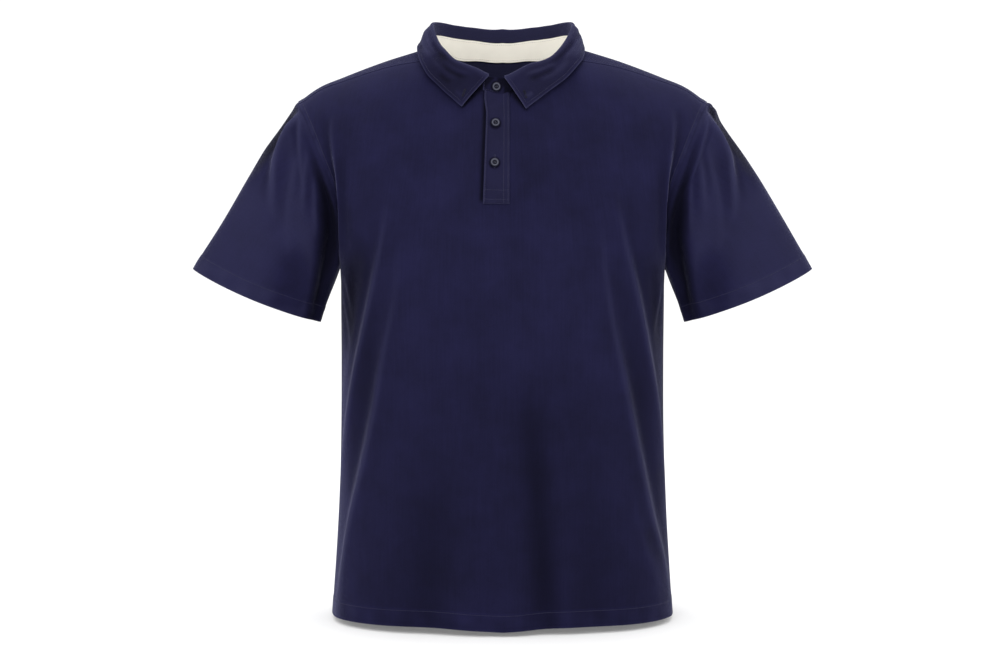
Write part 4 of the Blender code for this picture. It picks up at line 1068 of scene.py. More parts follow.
class Nodes:
    """Short calls for a material's nodes."""

    def __init__(self, name):
        self.made = bpy.data.materials.new(name)
        self.made.use_nodes = True
        self.tree = self.made.node_tree

    def set(self, socket, value):
        if isinstance(value, bpy.types.NodeSocket):
            self.tree.links.new(value, socket)
        else:
            socket.default_value = value

    def shader(self, **inputs):
        """Sets the shader's inputs and gives the finished material."""
        for key, value in inputs.items():
            self.set(self.tree.nodes["Principled BSDF"].inputs[key.replace("_", " ")], value)
        return self.made

    def node(self, kind, settings=(), numbered=(), **inputs):
        """The new node, with settings, with inputs by number and with inputs by name."""
        made = self.tree.nodes.new("ShaderNode" + kind)
        for key, value in settings:
            setattr(made, key, value)
        for key, value in numbered:
            self.set(made.inputs[key], value)
        for key, value in inputs.items():
            self.set(made.inputs[key], value)
        return made

    def math(self, operation, first, second=0.0):
        return self.node("Math", [("operation", operation)], [(0, first), (1, second)]).outputs[0]

    def total(self, *weighted):
        """The sum of (value, weight) pairs."""
        parts = [self.math("MULTIPLY", value, weight) for value, weight in weighted]
        return functools.reduce(lambda one, other: self.math("ADD", one, other), parts)

    def mix(self, share, first, second):
        return self.node("Mix", [("data_type", "RGBA")], [(0, share), (6, first), (7, second)]).outputs[2]

    def clamped(self, value):
        return self.node("Clamp", Value=value).outputs[0]

    def flat(self):
        return self.node("UVMap", [("uv_map", "cloth")]).outputs[0]

    def solid(self):
        return self.node("TexCoord").outputs["Object"]

    def scaled(self, vector, *factors):
        return self.node("VectorMath", [("operation", "MULTIPLY")], [(0, vector), (1, factors)]).outputs[0]

    def noise(self, vector, scale, detail=2.0, roughness=0.5):
        made = self.node("TexNoise", Vector=vector, Scale=scale, Detail=detail, Roughness=roughness)
        return made.outputs[0]

    def ranged(self, value, low, high, to_low, to_high):
        return self.node("MapRange", (), enumerate((value, low, high, to_low, to_high))).outputs[0]

    def spots(self, vector, scale, detail=3.0, roughness=0.6):
        """Noise spread out to the whole of 0 to 1."""
        return self.ranged(self.noise(vector, scale, detail, roughness), 0.30, 0.70, 0.0, 1.0)

    def bump(self, height, distance, strength, **before_it):
        return self.node("Bump", Height=height, Distance=distance, Strength=strength, **before_it).outputs[0]

    def wear_and_shading(self):
        return self.node("Attribute", [("attribute_name", "wear_and_shading")]).outputs["Fac"]


def shade(colour, factor=1.0):
    return tuple(min(1.0, part * factor) for part in colour) + (1.0,)


def knit(nodes, vector, wale, course):
    """The height of a plain knit: columns of V-shaped loops."""
    split = nodes.node("SeparateXYZ", Vector=vector)
    across = nodes.math("MULTIPLY", split.outputs[0], 2.0 * math.pi / wale)
    along = nodes.math("MULTIPLY", split.outputs[1], 2.0 * math.pi / course)
    column = nodes.math("ABSOLUTE", nodes.math("COSINE", across))
    loop = nodes.math("SINE", nodes.math("ADD", along, nodes.math("MULTIPLY", column, 2.2)))
    return nodes.total((column, 0.6), (loop, 0.4))


# How dark painted shade makes the cloth: the share of its base colour left at full shade
PAINTED_SHADE_FACTOR = 0.26


def jersey(name, base, worn_and_lit, streak=1.0, depth=1.0):
    """Garment-dyed cotton jersey: mottled, faintly streaked along its wales, paler where it rubs and where a
    highlight is painted, darker where shade is painted.
    """
    nodes = Nodes(name)
    flat, solid, rub_and_shading = nodes.flat(), nodes.solid(), nodes.wear_and_shading()
    blotch = nodes.spots(solid, 22.0)
    cloud = nodes.spots(solid, 6.0, 2.0, 0.5)
    streaks = nodes.spots(nodes.scaled(flat, 420.0, 16.0, 1.0), 1.0)
    grain = nodes.spots(nodes.scaled(flat, 900.0, 700.0, 1.0), 1.0, 2.0)
    tone = nodes.total((blotch, 0.38), (cloud, 0.26), (streaks, 0.18 * streak), (grain, 0.20))
    colour = nodes.mix(tone, shade(base, 0.58), shade(base, 1.42))
    # Towards the paler colour where worn and where highlights are painted, towards a dark share of the base
    # where shade is painted
    worn_and_lit_share = nodes.math("MULTIPLY", rub_and_shading, nodes.math("ADD", 0.55, nodes.math("MULTIPLY", grain, 0.6)))
    colour = nodes.mix(nodes.clamped(worn_and_lit_share), colour, shade(worn_and_lit))
    painted_shade_share = nodes.clamped(nodes.math("MULTIPLY", rub_and_shading, -1.0))
    normal = nodes.bump(knit(nodes, flat, 0.0016, 0.0012), 0.00022 * depth, 0.55)
    normal = nodes.bump(grain, 0.00030 * depth, 0.45, Normal=normal)
    normal = nodes.bump(nodes.noise(flat, 95.0, 3.0, 0.6), 0.0011 * depth, 0.35, Normal=normal)
    return nodes.shader(
        Base_Color=nodes.mix(painted_shade_share, colour, shade(base, PAINTED_SHADE_FACTOR)),
        Roughness=nodes.ranged(nodes.total((grain, 0.5), (blotch, 0.5)), 0.0, 1.0, 0.80, 0.98),
        Specular_IOR_Level=0.06,
        Sheen_Weight=0.30,
        Sheen_Roughness=0.22,
        Sheen_Tint=(0.46, 0.47, 0.74, 1.0),
        Normal=normal,
    )


def twill(name, base):
    """The pale woven neck band: fine slanting ribs, in a slightly uneven tone."""
    nodes = Nodes(name)
    split = nodes.node("SeparateXYZ", Vector=nodes.flat())
    slant = nodes.math("ADD", split.outputs[0], split.outputs[1])
    rib = nodes.math("SINE", nodes.math("MULTIPLY", slant, 2.0 * math.pi / 0.0011))
    pick = nodes.math("SINE", nodes.math("MULTIPLY", split.outputs[0], 2.0 * math.pi / 0.0007))
    weave = nodes.total((rib, 0.35), (pick, 0.15))
    blotch = nodes.spots(nodes.solid(), 26.0)
    tone = nodes.clamped(nodes.total((weave, 0.3), (blotch, 0.7)))
    return nodes.shader(
        Base_Color=nodes.mix(tone, shade(base, 0.93), shade(base, 1.04)),
        Roughness=nodes.ranged(blotch, 0.0, 1.0, 0.78, 0.92),
        Specular_IOR_Level=0.25,
        Sheen_Weight=0.1,
        Normal=nodes.bump(weave, 0.00025, 0.6),
    )


def thread(name, base):
    """Spun sewing thread: twisted plies with a low gloss."""
    nodes = Nodes(name)
    tone = nodes.spots(nodes.solid(), 240.0, 2.0, 0.5)
    return nodes.shader(
        Base_Color=nodes.mix(tone, shade(base, 0.75), shade(base, 1.3)),
        Roughness=nodes.ranged(tone, 0.0, 1.0, 0.55, 0.75),
        Specular_IOR_Level=0.12,
        Sheen_Weight=0.08,
        Normal=nodes.bump(nodes.noise(nodes.solid(), 2600.0, 1.0), 0.0001, 0.6),
    )


def horn(name, base, rim):
    """Dyed horn: faint marbling, and paler on its raised rim, partly from wear and partly a painted
    highlight.
    """
    nodes = Nodes(name)
    marble = nodes.spots(nodes.scaled(nodes.solid(), 1.0, 1.0, 3.0), 420.0)
    return nodes.shader(
        Base_Color=nodes.mix(nodes.wear_and_shading(), nodes.mix(marble, shade(base, 0.8), shade(base, 1.5)), shade(rim)),
        Roughness=nodes.ranged(marble, 0.0, 1.0, 0.24, 0.42),
        Specular_IOR_Level=0.10,
        Normal=nodes.bump(nodes.noise(nodes.solid(), 3000.0, 2.0, 0.6), 0.00003, 0.5),
    )


def studio_white(name, value, glow):
    """The floor's even white, which gives off a little light of its own."""
    nodes = Nodes(name)
    fine = nodes.noise(nodes.solid(), 40.0)
    return nodes.shader(
        Base_Color=nodes.mix(fine, shade((value,) * 3), shade((value * 0.99,) * 3)),
        Roughness=nodes.ranged(fine, 0.0, 1.0, 0.88, 0.94),
        Specular_IOR_Level=0.1,
        Emission_Color=(1.0, 1.0, 1.0, 1.0),
        Emission_Strength=glow,
    )


NAVY_THREAD = thread("navy_thread", (0.0170, 0.0170, 0.0450))
# The cloths and threads, each with its slot
# Each jersey's second colour is the paler one for wear and painted highlights
JERSEY = (jersey("navy_jersey", (0.0100, 0.0096, 0.0340), (0.0300, 0.0300, 0.0740)), "navy_jersey")
COLLAR = (jersey("navy_collar", (0.0105, 0.0100, 0.0325), (0.0340, 0.0340, 0.0780), 0.4, 1.5), "navy_collar")
CREAM = (twill("cream_band", (0.9700, 0.9250, 0.8200)), "cream_band")
# The button's paler rim colour: partly wear, partly a painted highlight
HORN = (horn("navy_button", (0.0050, 0.0055, 0.0130), (0.0680, 0.0710, 0.0960)), "navy_button")
JERSEY_THREAD = (NAVY_THREAD, "navy_jersey")
COLLAR_THREAD = (NAVY_THREAD, "navy_collar")
SLIT_THREAD = (thread("slit_thread", (0.0045, 0.0045, 0.0110)), "navy_collar")
CREAM_THREAD = (thread("cream_thread", (0.55, 0.52, 0.45)), "cream_band")
BUTTON_THREAD = (thread("button_thread", (0.0700, 0.0720, 0.1000)), "navy_button")


# ---- The front and the back ----

# Worn lines: how far from the edge, how wide, how strong
HEM_WEAR = ((0.0, 0.0011, 0.45), (HEM_DEPTH, 0.0012, 0.22))
SHOULDER_WEAR = ((0.0, 0.0040, 0.30), (0.0, 0.036, 0.30))


def panel_levels():
    """The levels of a panel's rows, close together at the hem and at the top edge."""
    low_height = UNDERARM_Z - HEM_Z
    hem = np.arange(0.0, HEM_DEPTH + 0.0047, HEM_ROW_PITCH)
    low = np.concatenate([hem, np.linspace(HEM_DEPTH + 0.007, low_height, LOW_ROWS)]) / low_height
    high = np.linspace(1.0, 2.0 - SEAM_GAP / 2.0 / COLUMN_LENGTH, HIGH_ROWS)
    high[-4:-1] = high[-1] - np.array(LAST_ROWS)
    return np.concatenate([low, high[1:]])


def slit_turns(level):
    """The turns at which the front crosses the slit's two edges, at a level."""
    found = []
    for x in (SLIT_RIGHT_X, SLIT_LEFT_X):
        turn = np.full(np.shape(level), x / SLIT_START_WIDTH)
        for _ in range(SLIT_STEPS):
            here = plain_body(turn, level, -1)[..., 0]
            slope = (plain_body(turn + SLIT_TURN_STEP, level, -1)[..., 0] - here) / SLIT_TURN_STEP
            turn = turn + (x - here) / slope
        found.append(turn)
    return found


def with_slit(base, levels):
    """The front's turns and levels, fitted to the slit's edges on two columns and a row, and its faces."""
    slit_z = plain_body(np.full(levels.shape, -0.03), levels, -1)[..., 2]
    bottom = nearest(slit_z, SLIT_BOTTOM_Z)
    share = (SLIT_BOTTOM_Z - slit_z[bottom]) / (slit_z[bottom + 1] - slit_z[bottom])
    levels[bottom] += share * (levels[bottom + 1] - levels[bottom])
    edges = slit_turns(levels)
    columns = [nearest(base, at[bottom]) for at in edges]
    turns = np.repeat(base[None, :], len(levels), axis=0)
    for row, level in enumerate(levels):
        ease = after(level, levels[bottom] - SLIT_EASE, SLIT_EASE)
        moved = [base[column] + (at[row] - base[column]) * ease for column, at in zip(columns, edges)]
        turns[row] = np.interp(base, [-1.0, -0.3, *base[columns], 0.3, 1.0], [-1.0, -0.3, *moved, 0.3, 1.0])
    skip = np.zeros((len(levels) - 1, len(base) - 1), bool)
    skip[bottom:, columns[0]:columns[1]] = True
    return turns, levels, skip


def panel_lift(at, side):
    """How far the hem and the seams of a panel raise its face."""
    on_hem = before(at.above_hem, HEM_DEPTH * 1.4, 0.004)
    lift = sewn_band(at.above_hem, at.across, HEM_DEPTH, HEM_LIFT, 0.7 if side < 0 else 1.9, on_hem)
    lift = lift + at.upper * sewn_band(at.from_seam, at.down, ARMHOLE_BAND, ARMHOLE_LIFT, 2.6)
    if side > 0:
        lift = lift + at.shoulder * sewn_band(at.down, at.across, SHOULDER_BAND, SHOULDER_LIFT, 4.1)
    return lift - 0.00035 * at.side_seam


def panel_wear_and_shading(at, side, crease_light_and_shade):
    """How pale a panel is from wear and painted highlights (above 0), and how dark from painted shade (below
    0). turn is below 0 on the wearer's right.
    """
    size = np.abs(at.turn)
    height = at.plain[..., 2]
    # Painted highlights and shade of the creases, and pale worn lines along the hem
    wear_and_shading = np.where(crease_light_and_shade > 0.0, RIDGE_HIGHLIGHT, 1.0) * crease_light_and_shade + lines(at.above_hem, HEM_WEAR)
    rub = 0.6 + 0.25 * np.sin(at.down / 0.0061) + 0.15 * np.sin(at.down / 0.0023 + 1.0)
    wear_and_shading = wear_and_shading + at.upper * 0.34 * smooth((ARMHOLE_BAND - at.from_seam) / 0.0035 + 0.2) * rub
    wear_and_shading = wear_and_shading + at.shoulder * lines(at.down, SHOULDER_WEAR)
    # Painted highlights on the low sides and painted shade over the low middle, then painted shade along the
    # outlines and in the hollows under the arms
    side_highlight = after(size, np.where(at.turn < 0.0, 0.77, 0.86), 0.10) * before(height, -0.345, 0.07)
    wear_and_shading = wear_and_shading + side_highlight * np.where(at.turn < 0.0, 0.86, 0.16)
    wear_and_shading = wear_and_shading - 0.18 * before(height, -0.34, 0.14) * before(size, 0.78, 0.14)
    outline_shade = after(size, 0.895, 0.05) * after(height, -0.58, 0.12) * before(height, -0.21, 0.05)
    wear_and_shading = wear_and_shading - outline_shade * np.where(at.turn < 0.0, 1.5, 0.9)
    wear_and_shading = wear_and_shading - 0.30 * after(size, 0.77, 0.05) * after(height, -0.41, 0.06) * before(height, -0.27, 0.02)
    wear_and_shading = wear_and_shading + hem_rub(at.across, at.above_hem, HEM_DEPTH, 1.0) - 0.20 * at.side_seam
    if side > 0:
        # The back's top, worn by the collar on one face and by the neck on the other
        return wear_and_shading + smooth(1.4 - at.down / 0.030) * before(size, NECK_SHARE * 0.9, 0.08)
    # The shade beside the placket's free edge and under the leaf
    free_edge = through(PLACKET_EDGES, height)[..., 0]
    beside = bell(at.plain[..., 0] - free_edge + 0.0022, 0.0028)
    return wear_and_shading - after(height, PLACKET_BOTTOM_Z, 0.006) * beside - LEAF_SHADE * under_leaf(at.plain)


def panel(name, side, node):
    """The front or the back: its grid, its seams and hem raised, its mesh and its rows of stitches."""
    levels = panel_levels()
    base = np.linspace(-1.0, 1.0, BODY_COLUMNS + 1)
    base = np.sign(base) * np.abs(base) ** COLUMN_SPREAD
    skip = None
    if side < 0:
        base = np.sort(np.concatenate([base, EDGE_COLUMNS]))
        turns, levels, skip = with_slit(base, levels)
    else:
        turns = np.repeat(base[None, :], len(levels), axis=0)
    level = np.repeat(levels[:, None], turns.shape[1], axis=1)
    plain = plain_body(turns, level, side)
    normal = outward(lambda a, b: plain_body(a, b, side), turns, level, -side)
    across = run_length(plain, 1)
    from_seam = np.minimum(across, across[:, -1:] - across)
    at = types.SimpleNamespace(
        turn=turns, plain=plain, across=across, from_seam=from_seam, down=left_below(plain),
        above_hem=level * (UNDERARM_Z - HEM_Z),
        upper=after(level, 1.02, 0.05),
        shoulder=after(np.abs(turns), NECK_SHARE, 0.02) * after(level, 1.5, 0.1),
        side_seam=before(level, 0.98, 0.04) * bell(from_seam, 0.0009),
    )
    lift, crease_light_and_shade = body_creases(turns, plain[..., 2], side)
    lift = lift + panel_lift(at, side)
    sunk = seam_dip(body_over(turns, level, side)) * smooth(1.0 - from_seam / DIP_IN_BODY)
    sunk = sunk * after(level, 1.0, 0.02)
    # The panel's wear and painted light, with painted shade along the armhole seam's sunk stretch
    wear_and_shading = panel_wear_and_shading(at, side, crease_light_and_shade) - DIP_SHADE * sunk / DIP_FRONT * smooth(1.4 - from_seam / 0.008)
    outer = plain + normal * lift[..., None]
    outer = outer + sunk[..., None] * stacked(-DIP_ASIDE * np.sign(turns), -DIP_IN * side, 0.0)
    normal = grid_normals(outer, normal)
    from_middle = across - across[:, -1:] / 2.0
    made = shell(name, node, JERSEY, outer, normal, CLOTH, from_middle, -at.down, wear_and_shading, skip=skip)
    hem_row = nearest(at.above_hem[:, 0], HEM_DEPTH - STITCH_IN)
    rows = [stitch_row(outer[hem_row], normal[hem_row])]
    arm = slice(nearest(levels, 1.06), -2)
    for way, distance in from_ends(across):
        grids = [grid[arm, way] for grid in (outer, normal, distance)]
        rows.append(stitched_at(*grids, ARMHOLE_BAND - STITCH_IN))
    if side > 0:
        for sign in (-1.0, 1.0):
            top = turns[-1] * sign
            columns = np.nonzero((top > NECK_SHARE + 0.03) & (top < 0.975))[0]
            rows.append(stitched_across(outer, normal, at.down, columns, SHOULDER_BAND - STITCH_IN))
    return made, stitches(f"{name}_stitching", rows, JERSEY_THREAD)


front_cloth, front_thread = panel("shirt_front", -1, "front")
back_cloth, back_thread = panel("shirt_back", 1, "back")


# ---- The sleeves ----

CUFF_WEAR = ((0.0, 0.0011, 0.40), (CUFF_DEPTH, 0.0014, 0.14))
SLEEVE_HEAD_WEAR = ((0.0, 0.0030, 0.16),)


def sleeve_piece(name, side, node):
    """A sleeve: its grid, its cuff's hem, its creases, its mesh and its row of stitches."""
    hem_from = 1.0 - 0.026 / SLEEVE_LENGTH
    along = [np.linspace(SLEEVE_TUCK, hem_from, SLEEVE_ALONG - 26), np.linspace(hem_from, 1.0, 27)[1:]]
    around, along = np.meshgrid(np.arange(SLEEVE_AROUND) / SLEEVE_AROUND, np.concatenate(along))
    plain = plain_sleeve(around, along)
    mirrored = np.array([side, 1.0, 1.0])
    normal = outward(plain_sleeve, around, along, -1.0, 0.0, 1.0)
    creases = LEFT_SLEEVE_CREASES if side > 0 else RIGHT_SLEEVE_CREASES
    lift, crease_light_and_shade = np.zeros((2, *around.shape))
    for shift in (-1.0, 0.0, 1.0):
        some_lift, some_crease_light_and_shade = creased(around + shift, along, creases, SLEEVE_ROUND, SLEEVE_LENGTH, 0.5)
        lift = lift + some_lift
        crease_light_and_shade = np.where(np.abs(some_crease_light_and_shade) > np.abs(crease_light_and_shade), some_crease_light_and_shade, crease_light_and_shade)
    crease_light_and_shade = crease_light_and_shade * smooth(along / 0.06)
    down = run_length(plain, 0)
    from_cuff = down[-1:] - down
    girth = run_length(np.concatenate([plain, plain[:, :1]], axis=1), 1)
    on_cuff = before(from_cuff, 0.03, 0.004)
    cuff = sewn_band(from_cuff, girth[:, :-1], CUFF_DEPTH, HEM_LIFT, 3.3 + side, on_cuff)
    lift = lift * smooth(along / 0.06) + cuff
    sunk = seam_dip(around * 180.0) * smooth(1.0 - down / DIP_IN_SLEEVE)
    # Painted crease highlights and shade, and paler than the body but in a crease's shaded hollow
    wear_and_shading = np.where(crease_light_and_shade > 0.0, RIDGE_HIGHLIGHT, 1.0) * crease_light_and_shade
    wear_and_shading = wear_and_shading + 0.37 * smooth(along / 0.25) * (1.0 - np.clip(-3.0 * crease_light_and_shade, 0.0, 1.0))
    # Painted shade along the armhole seam's sunk stretch and on the outer face, and a painted highlight near
    # the shoulder
    wear_and_shading = wear_and_shading - DIP_SHADE * sunk / DIP_FRONT
    wear_and_shading = wear_and_shading - 0.95 * bell(around - 0.474, 0.030) * before(along, 0.74, 0.40) * after(along, 0.03, 0.07)
    wear_and_shading = wear_and_shading + 0.45 * bell(around - 0.420, 0.05) * before(along, 0.20, 0.16)
    wear_and_shading = wear_and_shading + lines(from_cuff, CUFF_WEAR) + lines(down, SLEEVE_HEAD_WEAR)
    wear_and_shading = wear_and_shading + hem_rub(girth[:, :-1], from_cuff, CUFF_DEPTH, 2.0 + side)
    plain = plain + sunk[..., None] * stacked(-DIP_ASIDE, np.where(around < 0.5, DIP_IN, -DIP_IN), 0.0)
    outer = (plain + normal * lift[..., None]) * mirrored
    normal = grid_normals(outer, normal * mirrored, tube=True)
    made = shell(name, node, JERSEY, outer, normal, CLOTH, girth, from_cuff, wear_and_shading, tube=True)
    columns = np.append(np.arange(SLEEVE_AROUND), 0)
    row = stitched_across(outer, normal, from_cuff, columns, CUFF_DEPTH - STITCH_IN)
    return made, stitches(f"{name}_stitching", [row], JERSEY_THREAD)


left_sleeve, left_thread = sleeve_piece("shirt_sleeve_left", 1, "sleeve_left")
right_sleeve, right_thread = sleeve_piece("shirt_sleeve_right", -1, "sleeve_right")


# ---- The collar ----

LEVEL = np.array([1.0, 1.0, 0.0])
BAND_THREAD_RADIUS = 0.00022
LEAF_WEAR = ((0.0, 0.0013, 0.85), (LEAF_STITCH_IN, 0.0013, 0.06))
# The cloth has painted shade round a button: up to how far, and over how much of that the shade dies out
BUTTON_SHADE = (0.0085, 0.0025)
stand_angle = np.array(STAND_BUTTON_ANGLE)
stand_seat = stand_face(stand_angle, STAND_BUTTON_SHARE * stand_height(stand_angle))


def stand_piece():
    """The stand: a doubled strip round the neck whose rounded left end laps over the right one."""
    corner = STAND_OVER_ANGLE - STAND_ROUND_ANGLE * (1.0 - np.sin(np.linspace(0.0, math.pi / 2.0, 14)))
    angles = np.concatenate([[-STAND_UNDER_ANGLE], np.linspace(-180.0, 183.0, 300), corner])
    shares = np.linspace(0.0, 1.0, 18)[:, None]
    heights = shares * stand_height(angles)[None, :] - STAND_TUCK * (1.0 - shares)
    points = stand_face(angles + 0.0 * heights, heights)
    across = run_length(points, 1)
    from_end = across[:, -1:] - across
    from_top = stand_height(angles)[None, :] - heights
    edge = np.minimum(np.minimum(from_end, from_top), heights + 0.0008)
    front = after(np.abs(angles)[None, :], 140.0, 15.0)
    lift = front * groove(edge, 0.0022) + 0.00012 * np.sin(across / 0.0052) * np.sin(heights / 0.003)
    normal = grid_normals(points, (points - points.mean(axis=(0, 1))) * LEVEL)
    outer = points + normal * lift[..., None]
    wear_and_shading = bell(from_end, 0.0016) + 0.30 * bell(from_top, 0.001)
    # In front the stand has painted shade but for its end: left of that, round the button and under the leaf
    button_away = np.hypot(outer[..., 0] - stand_seat[0], outer[..., 2] - stand_seat[2])
    stand_painted_shade = 0.25 + 0.75 * after(outer[..., 0], 0.0005, 0.0030) + 0.70 * before(button_away, *BUTTON_SHADE)
    stand_painted_shade = np.maximum(stand_painted_shade, LEAF_SHADE * under_leaf(outer)) * smooth(from_end / 0.003)
    wear_and_shading = wear_and_shading - (outer[..., 1] < -0.05) * stand_painted_shade
    made = shell("collar_stand_cloth", "collar_stand", COLLAR, outer, normal, STAND_CLOTH,
                 across, heights, wear_and_shading)
    last = int(np.argmax(angles > STAND_OVER_ANGLE - 1.2))
    rows = [stitch_row(outer[2, last - 14:last], normal[2, last - 14:last]),
            stitch_row(outer[2:-3, last - 1], normal[2:-3, last - 1])]
    return made, stitches("collar_stand_stitching", rows, COLLAR_THREAD)


def band_piece():
    """The pale band that lines the stand."""
    angles = np.linspace(-BAND_ANGLE, BAND_ANGLE, 260)
    tall = stand_height(angles) - 2.0 * BAND_MARGIN
    heights = BAND_MARGIN + np.linspace(0.0, 1.0, 12)[:, None] * tall[None, :]
    outer = stand_face(angles + 0.0 * heights, heights, STAND_CLOTH + SEAM_GAP)
    normal = grid_normals(outer, (outer - outer.mean(axis=(0, 1))) * LEVEL)
    across = run_length(outer, 1)
    ripple = 0.00016 * np.sin(across / 0.0071) + 0.00012 * np.sin(across / 0.0173 + 1.0)
    outer = outer - normal * np.abs(ripple)[..., None]
    made = shell("neck_band_cloth", "neck_band", CREAM, outer, normal, BAND_CLOTH,
                 run_length(outer, 1), heights, 0.0)
    inner = outer - normal * BAND_CLOTH
    rows = [stitch_row(inner[row], -normal[row], BAND_THREAD_RADIUS) for row in (1, -2)]
    return made, stitches("neck_band_stitching", rows, CREAM_THREAD)


def leaf_grid(angle, fold_turns, fall_shares, rise_shares):
    """Rows of the leaf's face at each angle: up from the stand, over the fold and down to the edge."""
    size = np.abs(angle)
    sign = np.where(angle < 0.0, -1.0, 1.0)
    leaf = np.where((angle < 0.0)[..., None], through(RIGHT_LEAF_ROWS, size), through(LEFT_LEAF_ROWS, size))
    out = neck_out(angle)
    top = stand_face(angle, stand_row(angle)[..., 0] + LEAF_GAP, STAND_CLOTH)
    fold_start = top + stacked(0.0, 0.0, leaf[..., 0] - LEAF_FOLD_RADIUS)
    rows = [top + (fold_start - top) * share for share in rise_shares]
    centre = fold_start + out * LEAF_FOLD_RADIUS
    for turn in np.radians(fold_turns):
        rows.append(centre + (out * -math.cos(turn) + stacked(0.0, 0.0, math.sin(turn))) * LEAF_FOLD_RADIUS)
    fall = rows[-1]
    front = np.clip(-np.cos(np.radians(size)), 0.0, 1.0)
    edge = stacked(sign * leaf[..., 2] + LEAF_EDGE_SHIFT * front**2, leaf[..., 3], leaf[..., 4])
    length = np.linalg.norm(edge - fall, axis=-1, keepdims=True)
    straight = smooth((size - LEAF_STRAIGHT_FROM) / (LEAF_END_ANGLE - LEAF_STRAIGHT_FROM))[..., None]
    start_pull = (stacked(0.0, 0.0, -1.0) * LEAF_FALL_PULL + out * leaf[..., 1, None]) * length
    start_pull = start_pull + (edge - fall - start_pull) * straight
    end_pull = edge - fall - stacked(0.0, 0.0, 1.0) * length * LEAF_EDGE_DROOP
    for share in fall_shares:
        rows.append(hermite(fall, start_pull, edge, end_pull, np.full(angle.shape, share)))
    return np.stack(rows)


def leaf_crumples(angles, share, fall_length):
    """The lift of the leaf's small creases by angle round the neck and share down the fall, and their painted
    highlight where they rise and painted shade where they sink.
    """
    lift, crease_light_and_shade = np.zeros((2, *share.shape))
    for from_angle, from_share, to_angle, to_share, width, rise in LEAF_CREASES:
        along = (angles - from_angle) / (to_angle - from_angle)
        here = from_share + (to_share - from_share) * along + 0.03 * np.sin(along * 5.0)
        fade = smooth(along / 0.3) * smooth((1.0 - along) / 0.3)
        profile = bell((share - here) * fall_length, width) * fade
        lift = lift + rise * profile
        crease_light_and_shade = crease_light_and_shade + np.clip(rise / 0.0012, -1.0, 1.0) * profile
    return lift, crease_light_and_shade


def leaf_piece():
    """The leaf: crumpled a little and stitched along its edges. Gives its face for the buttonholes, too."""
    rise_shares = np.linspace(0.0, 0.85, 6)
    fold_turns = np.linspace(0.0, 180.0, 15)
    fall_shares = np.linspace(0.0, 1.0, FALL_ROWS + 1)[1:]
    spread = np.linspace(-math.pi / 2.0, math.pi / 2.0, LEAF_COLUMNS) * 0.82
    angles = np.sin(spread) / np.sin(spread[-1]) * LEAF_END_ANGLE
    plain = leaf_grid(angles, fold_turns, fall_shares, rise_shares)
    first_fall = len(rise_shares) + len(fold_turns)
    falls = np.zeros((len(plain), 1, 1))
    falls[first_fall:] = 1.0
    outside = (plain - plain.mean(axis=(0, 1))) * np.array([1.0, 1.0, 0.2]) * falls
    normal = grid_normals(plain, outside)
    down = run_length(plain, 0)
    from_edge = down[-1:] - down
    across = run_length(plain, 1)
    from_front = np.minimum(across, across[:, -1:] - across)
    edge = np.minimum(from_edge, from_front)
    share = np.zeros(plain.shape[:2])
    share[first_fall:] = fall_shares[:, None]
    row = np.arange(len(plain))[:, None]
    on_fall = after(row, first_fall - 4.0, 10.0)
    across = across - across[:, [len(angles) // 2]]
    lift, crease_light_and_shade = leaf_crumples(angles, share, down[-1] - down[first_fall])
    lift = lift + band(edge, LEAF_STITCH_IN, 0.00028) + groove(edge, LEAF_STITCH_IN)
    from_front_edge = across - across[:, :1]
    ripple = 0.00014 * np.sin(from_front_edge / 0.0047 + 3.0 * share)
    lift = lift + ripple * bell(edge - LEAF_STITCH_IN, 0.004)
    lift = (lift + 0.00045 * np.sin(across / 0.021) * np.sin(down / 0.013 + 0.8)) * on_fall
    outer = plain + normal * lift[..., None]
    normal = grid_normals(outer, normal)
    # Pale worn edges, and painted highlights and shade on the small creases
    wear_and_shading = lines(edge, LEAF_WEAR) + 0.80 * crease_light_and_shade * on_fall
    wear_and_shading = wear_and_shading + through(LEAF_TONES, angles)[None, :, 0] * on_fall + 0.50 * (1.0 - on_fall)
    wear_and_shading = wear_and_shading + 0.16 * bell(row - (len(rise_shares) + len(fold_turns) / 2.0), 5.0)
    thickness = LEAF_CLOTH * (0.55 + 0.45 * np.sqrt(np.clip(edge / 0.0012, 0.0, 1.0)))
    made = shell("collar_leaf_cloth", "collar_leaf", COLLAR, outer, normal, thickness, across, -down, wear_and_shading)
    columns = np.nonzero(from_front[-8] > LEAF_STITCH_IN)[0]
    rows = [stitched_across(outer, normal, from_edge, columns, LEAF_STITCH_IN)]
    for way, distance in from_ends(from_front_edge):
        stop = first_fall + 2
        while np.interp(LEAF_STITCH_IN, distance[stop, way], from_edge[stop, way]) >= LEAF_STITCH_IN:
            stop += 1
        grids = [grid[first_fall + 2:stop, way] for grid in (outer, normal, distance)]
        rows.append(stitched_at(*grids, LEAF_STITCH_IN))
    sewn = stitches("collar_leaf_stitching", rows, COLLAR_THREAD)
    return made, sewn, outer, normal, from_front_edge, from_edge


stand_cloth, stand_thread = stand_piece()
band_cloth, band_thread = band_piece()
leaf_cloth, leaf_thread, leaf_points, leaf_normals, leaf_across, leaf_from_edge = leaf_piece()


# ---- The placket ----

# Out from the front's face to the upper band's, and the band's rows of stitches: how far in from the sewn
# edge, from the free edge and up from the foot they run
ON_PLACKET = SEAM_GAP + PLACKET_CLOTH
SEWN_STITCHES = (0.0014, 0.0074)
FREE_STITCHES = 0.0022
BOX_STITCHES = (0.0052, 0.0170)


